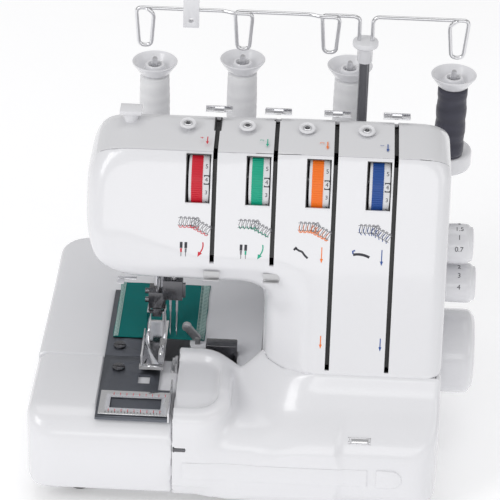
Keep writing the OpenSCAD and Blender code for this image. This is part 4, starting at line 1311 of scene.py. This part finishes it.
def cloth_piece():
    """A laid sample with gentle waves, lifted at its edges where the threads pull it."""
    x0, x1, y0, y1 = -112.0, -41.0, -18.0, 60.0
    bm = bmesh.new()
    rows = []
    nx, ny = 96, 104
    for j in range(ny + 1):
        row = []
        for i in range(nx + 1):
            u, v = i / nx, j / ny
            x, y = x0 + (x1 - x0) * u, y0 + (y1 - y0) * v
            lift = 0.16 + 0.16 * math.sin(v * 17 + 2.0 * math.sin(u * 4)) * math.sin(u * math.pi)
            lift += 0.1 * math.sin(u * 23 + v * 9) + 0.35 * max(0, abs(u - 0.5) * 2 - 0.85)
            x += 0.5 * math.sin(v * 14) * (u - 0.5)
            row.append(bm.verts.new((x, y, 80.45 + max(0.0, lift))))
        rows.append(row)
    for a, b in zip(rows, rows[1:]):
        for i in range(nx):
            bm.faces.new((a[i], a[i + 1], b[i + 1], b[i]))
    obj = as_object("cloth_sheet", bm, "cloth")
    mod = obj.modifiers.new("weave", "SOLIDIFY")
    mod.thickness = 0.35
    mod.offset = 1
    return settle(obj, "machine", "cloth_sample", slot="cloth")


def overlock_edges():
    """Rows of stitches over both long edges: needle lines, looped cross threads."""
    stitch = [(0, -0.85, 0), (0, -0.3, 0.2), (0, 0.5, 0.2), (0, 0.95, 0)]
    made = []

    def row(name, path, radius, x, y):
        piece = tube(path, radius, "sample_thread", 8)
        made.append(repeat(name, ROW, piece, "sample_thread", Count=38, Start=(x, y, 81.15), Step=(0.0, 2.02, 0.0)))

    for side, edge, width, lines in ((1, -41.2, 6.6, (0.98, 0.62)), (-1, -111.8, 3.4, (0.98,))):
        loop = [(-0.15, -0.9, 0), (-width * 0.5, -0.5, 0.32), (-width, 0.0, 0.1), (-width * 0.45, 0.75, 0.36),
                (-0.1, 0.2, 0)]
        row("loops", [(side * a, b, c) for a, b, c in loop], 0.2, edge, -16.5)
        for share in lines:
            row("stitches", stitch, 0.22, edge - side * width * share, -16.2)
    return settle(join("overlock_stitches", made), "machine", slot="thread_white")


cloth = cloth_piece()
stitches = overlock_edges()


def cover_front(x, z):
    """The front of the looper cover at many places at once."""
    y = np.full(np.shape(x), -140.0)
    for _ in range(14):
        y = y + cover_distance(x, y, z) * 0.95
    return y


def front_frames(places):
    """Lays flat work on the cover's front, one matrix for each (x, z)."""
    x, z = (np.array([p[i] for p in places], float) for i in (0, 1))
    mid, high, low = cover_front(x, z), cover_front(x, z + 1.0), cover_front(x, z - 1.0)
    frames = []
    for k in range(len(places)):
        normal = Vector((0, -1, (high[k] - low[k]) / 2)).normalized()
        frames.append(laid_on(Vector((x[k], mid[k], z[k])), normal))
    return frames


def cover_details():
    """Chrome-lined slot, finger grip and the low rib of the looper cover."""
    m = front_frames([(80.5, 69.5)])[0]
    chrome = [block("frame", lo, hi, "chrome", 0.25) for lo, hi in (
        ((-8.2, 1.7, -1.5), (8.2, 2.6, 0.5)), ((-8.2, -2.6, -1.5), (8.2, -1.7, 0.5)),
        ((-8.2, -2.6, -1.5), (-7.3, 2.6, 0.5)), ((7.3, -2.6, -1.5), (8.2, 2.6, 0.5)))]
    chrome.append(block("plate", (-7.6, -2.2, -1.6), (7.6, 2.2, -0.1), "dark_metal"))
    chrome.append(block("tongue", (-6.5, -1.6, -0.4), (7.0, 1.9, 0.2), "chrome", 0.25))
    for piece in chrome:
        piece.data.transform(m)
    settle(join("cover_slot_frame", chrome), "cover", slot="chrome")
    bm = bmesh.new()
    angles = [math.pi * k / 12 for k in range(1, 12)]
    outline = [(-9, -8), (2, -8), *((2 + 8 * math.sin(a), -8 * math.cos(a)) for a in angles), (2, 8), (-9, 8)]
    top = [bm.verts.new((u, v, 0.8)) for u, v in outline]
    low = [bm.verts.new((u, v, -2.5)) for u, v in outline]
    bm.faces.new(top)
    for k in range(len(top)):
        j = (k + 1) % len(top)
        bm.faces.new((top[k], low[k], low[j], top[j]))
    knob = applied(bevel(as_object("finger_grip", bm, "white_plastic"), 0.7, 3))
    knob.data.transform(front_frames([(103, 41)])[0])
    bm = bmesh.new()
    steps = ((33.0, -0.6), (33.6, 0.45), (35.0, 0.8), (47.0, 0.8), (48.4, 0.45), (49.0, -0.6))
    places = [(-50 + 137 * k / 39, z) for k in range(40) for z, _ in steps]
    spots = [bm.verts.new(m @ Vector((0, 0, steps[i % 6][1]))) for i, m in enumerate(front_frames(places))]
    rows = [spots[k:k + 6] for k in range(0, len(spots), 6)]
    for a, b in zip(rows, rows[1:]):
        for i in range(5):
            bm.faces.new((a[i], b[i], b[i + 1], a[i + 1]))
    for end in (rows[0], list(reversed(rows[-1]))):
        bm.faces.new(end)
    bmesh.ops.recalc_face_normals(bm, faces=bm.faces)
    band = as_object("grip_band", bm, "white_plastic")
    settle(sharpen(join("cover_grip_band", [knob, band]), 40), "cover", slot="white_plastic")


cover_details()


def trimmed_chassis():
    """The inner frame without the pin ends that a rounded cover corner would show."""
    bm = node_mesh("chassis_frame")
    low = [f for f in bm.faces if f.calc_center_median().y < -100]
    geom = list({v for f in low for v in f.verts}) + list({e for f in low for e in f.edges}) + low
    bmesh.ops.bisect_plane(bm, geom=geom, plane_co=(134, 0, 0), plane_no=(1, 0, 0), clear_outer=True)
    bmesh.ops.holes_fill(bm, edges=[e for e in bm.edges if e.is_boundary])
    settle(as_object("inner_frame", bm, "aluminium", False), "machine", "chassis_frame", slot="aluminium")


trimmed_chassis()

for node, obj in frame["nodes"].items():
    obj.data.materials.clear()
    obj.data.materials.append(finish[slot_of[node]])
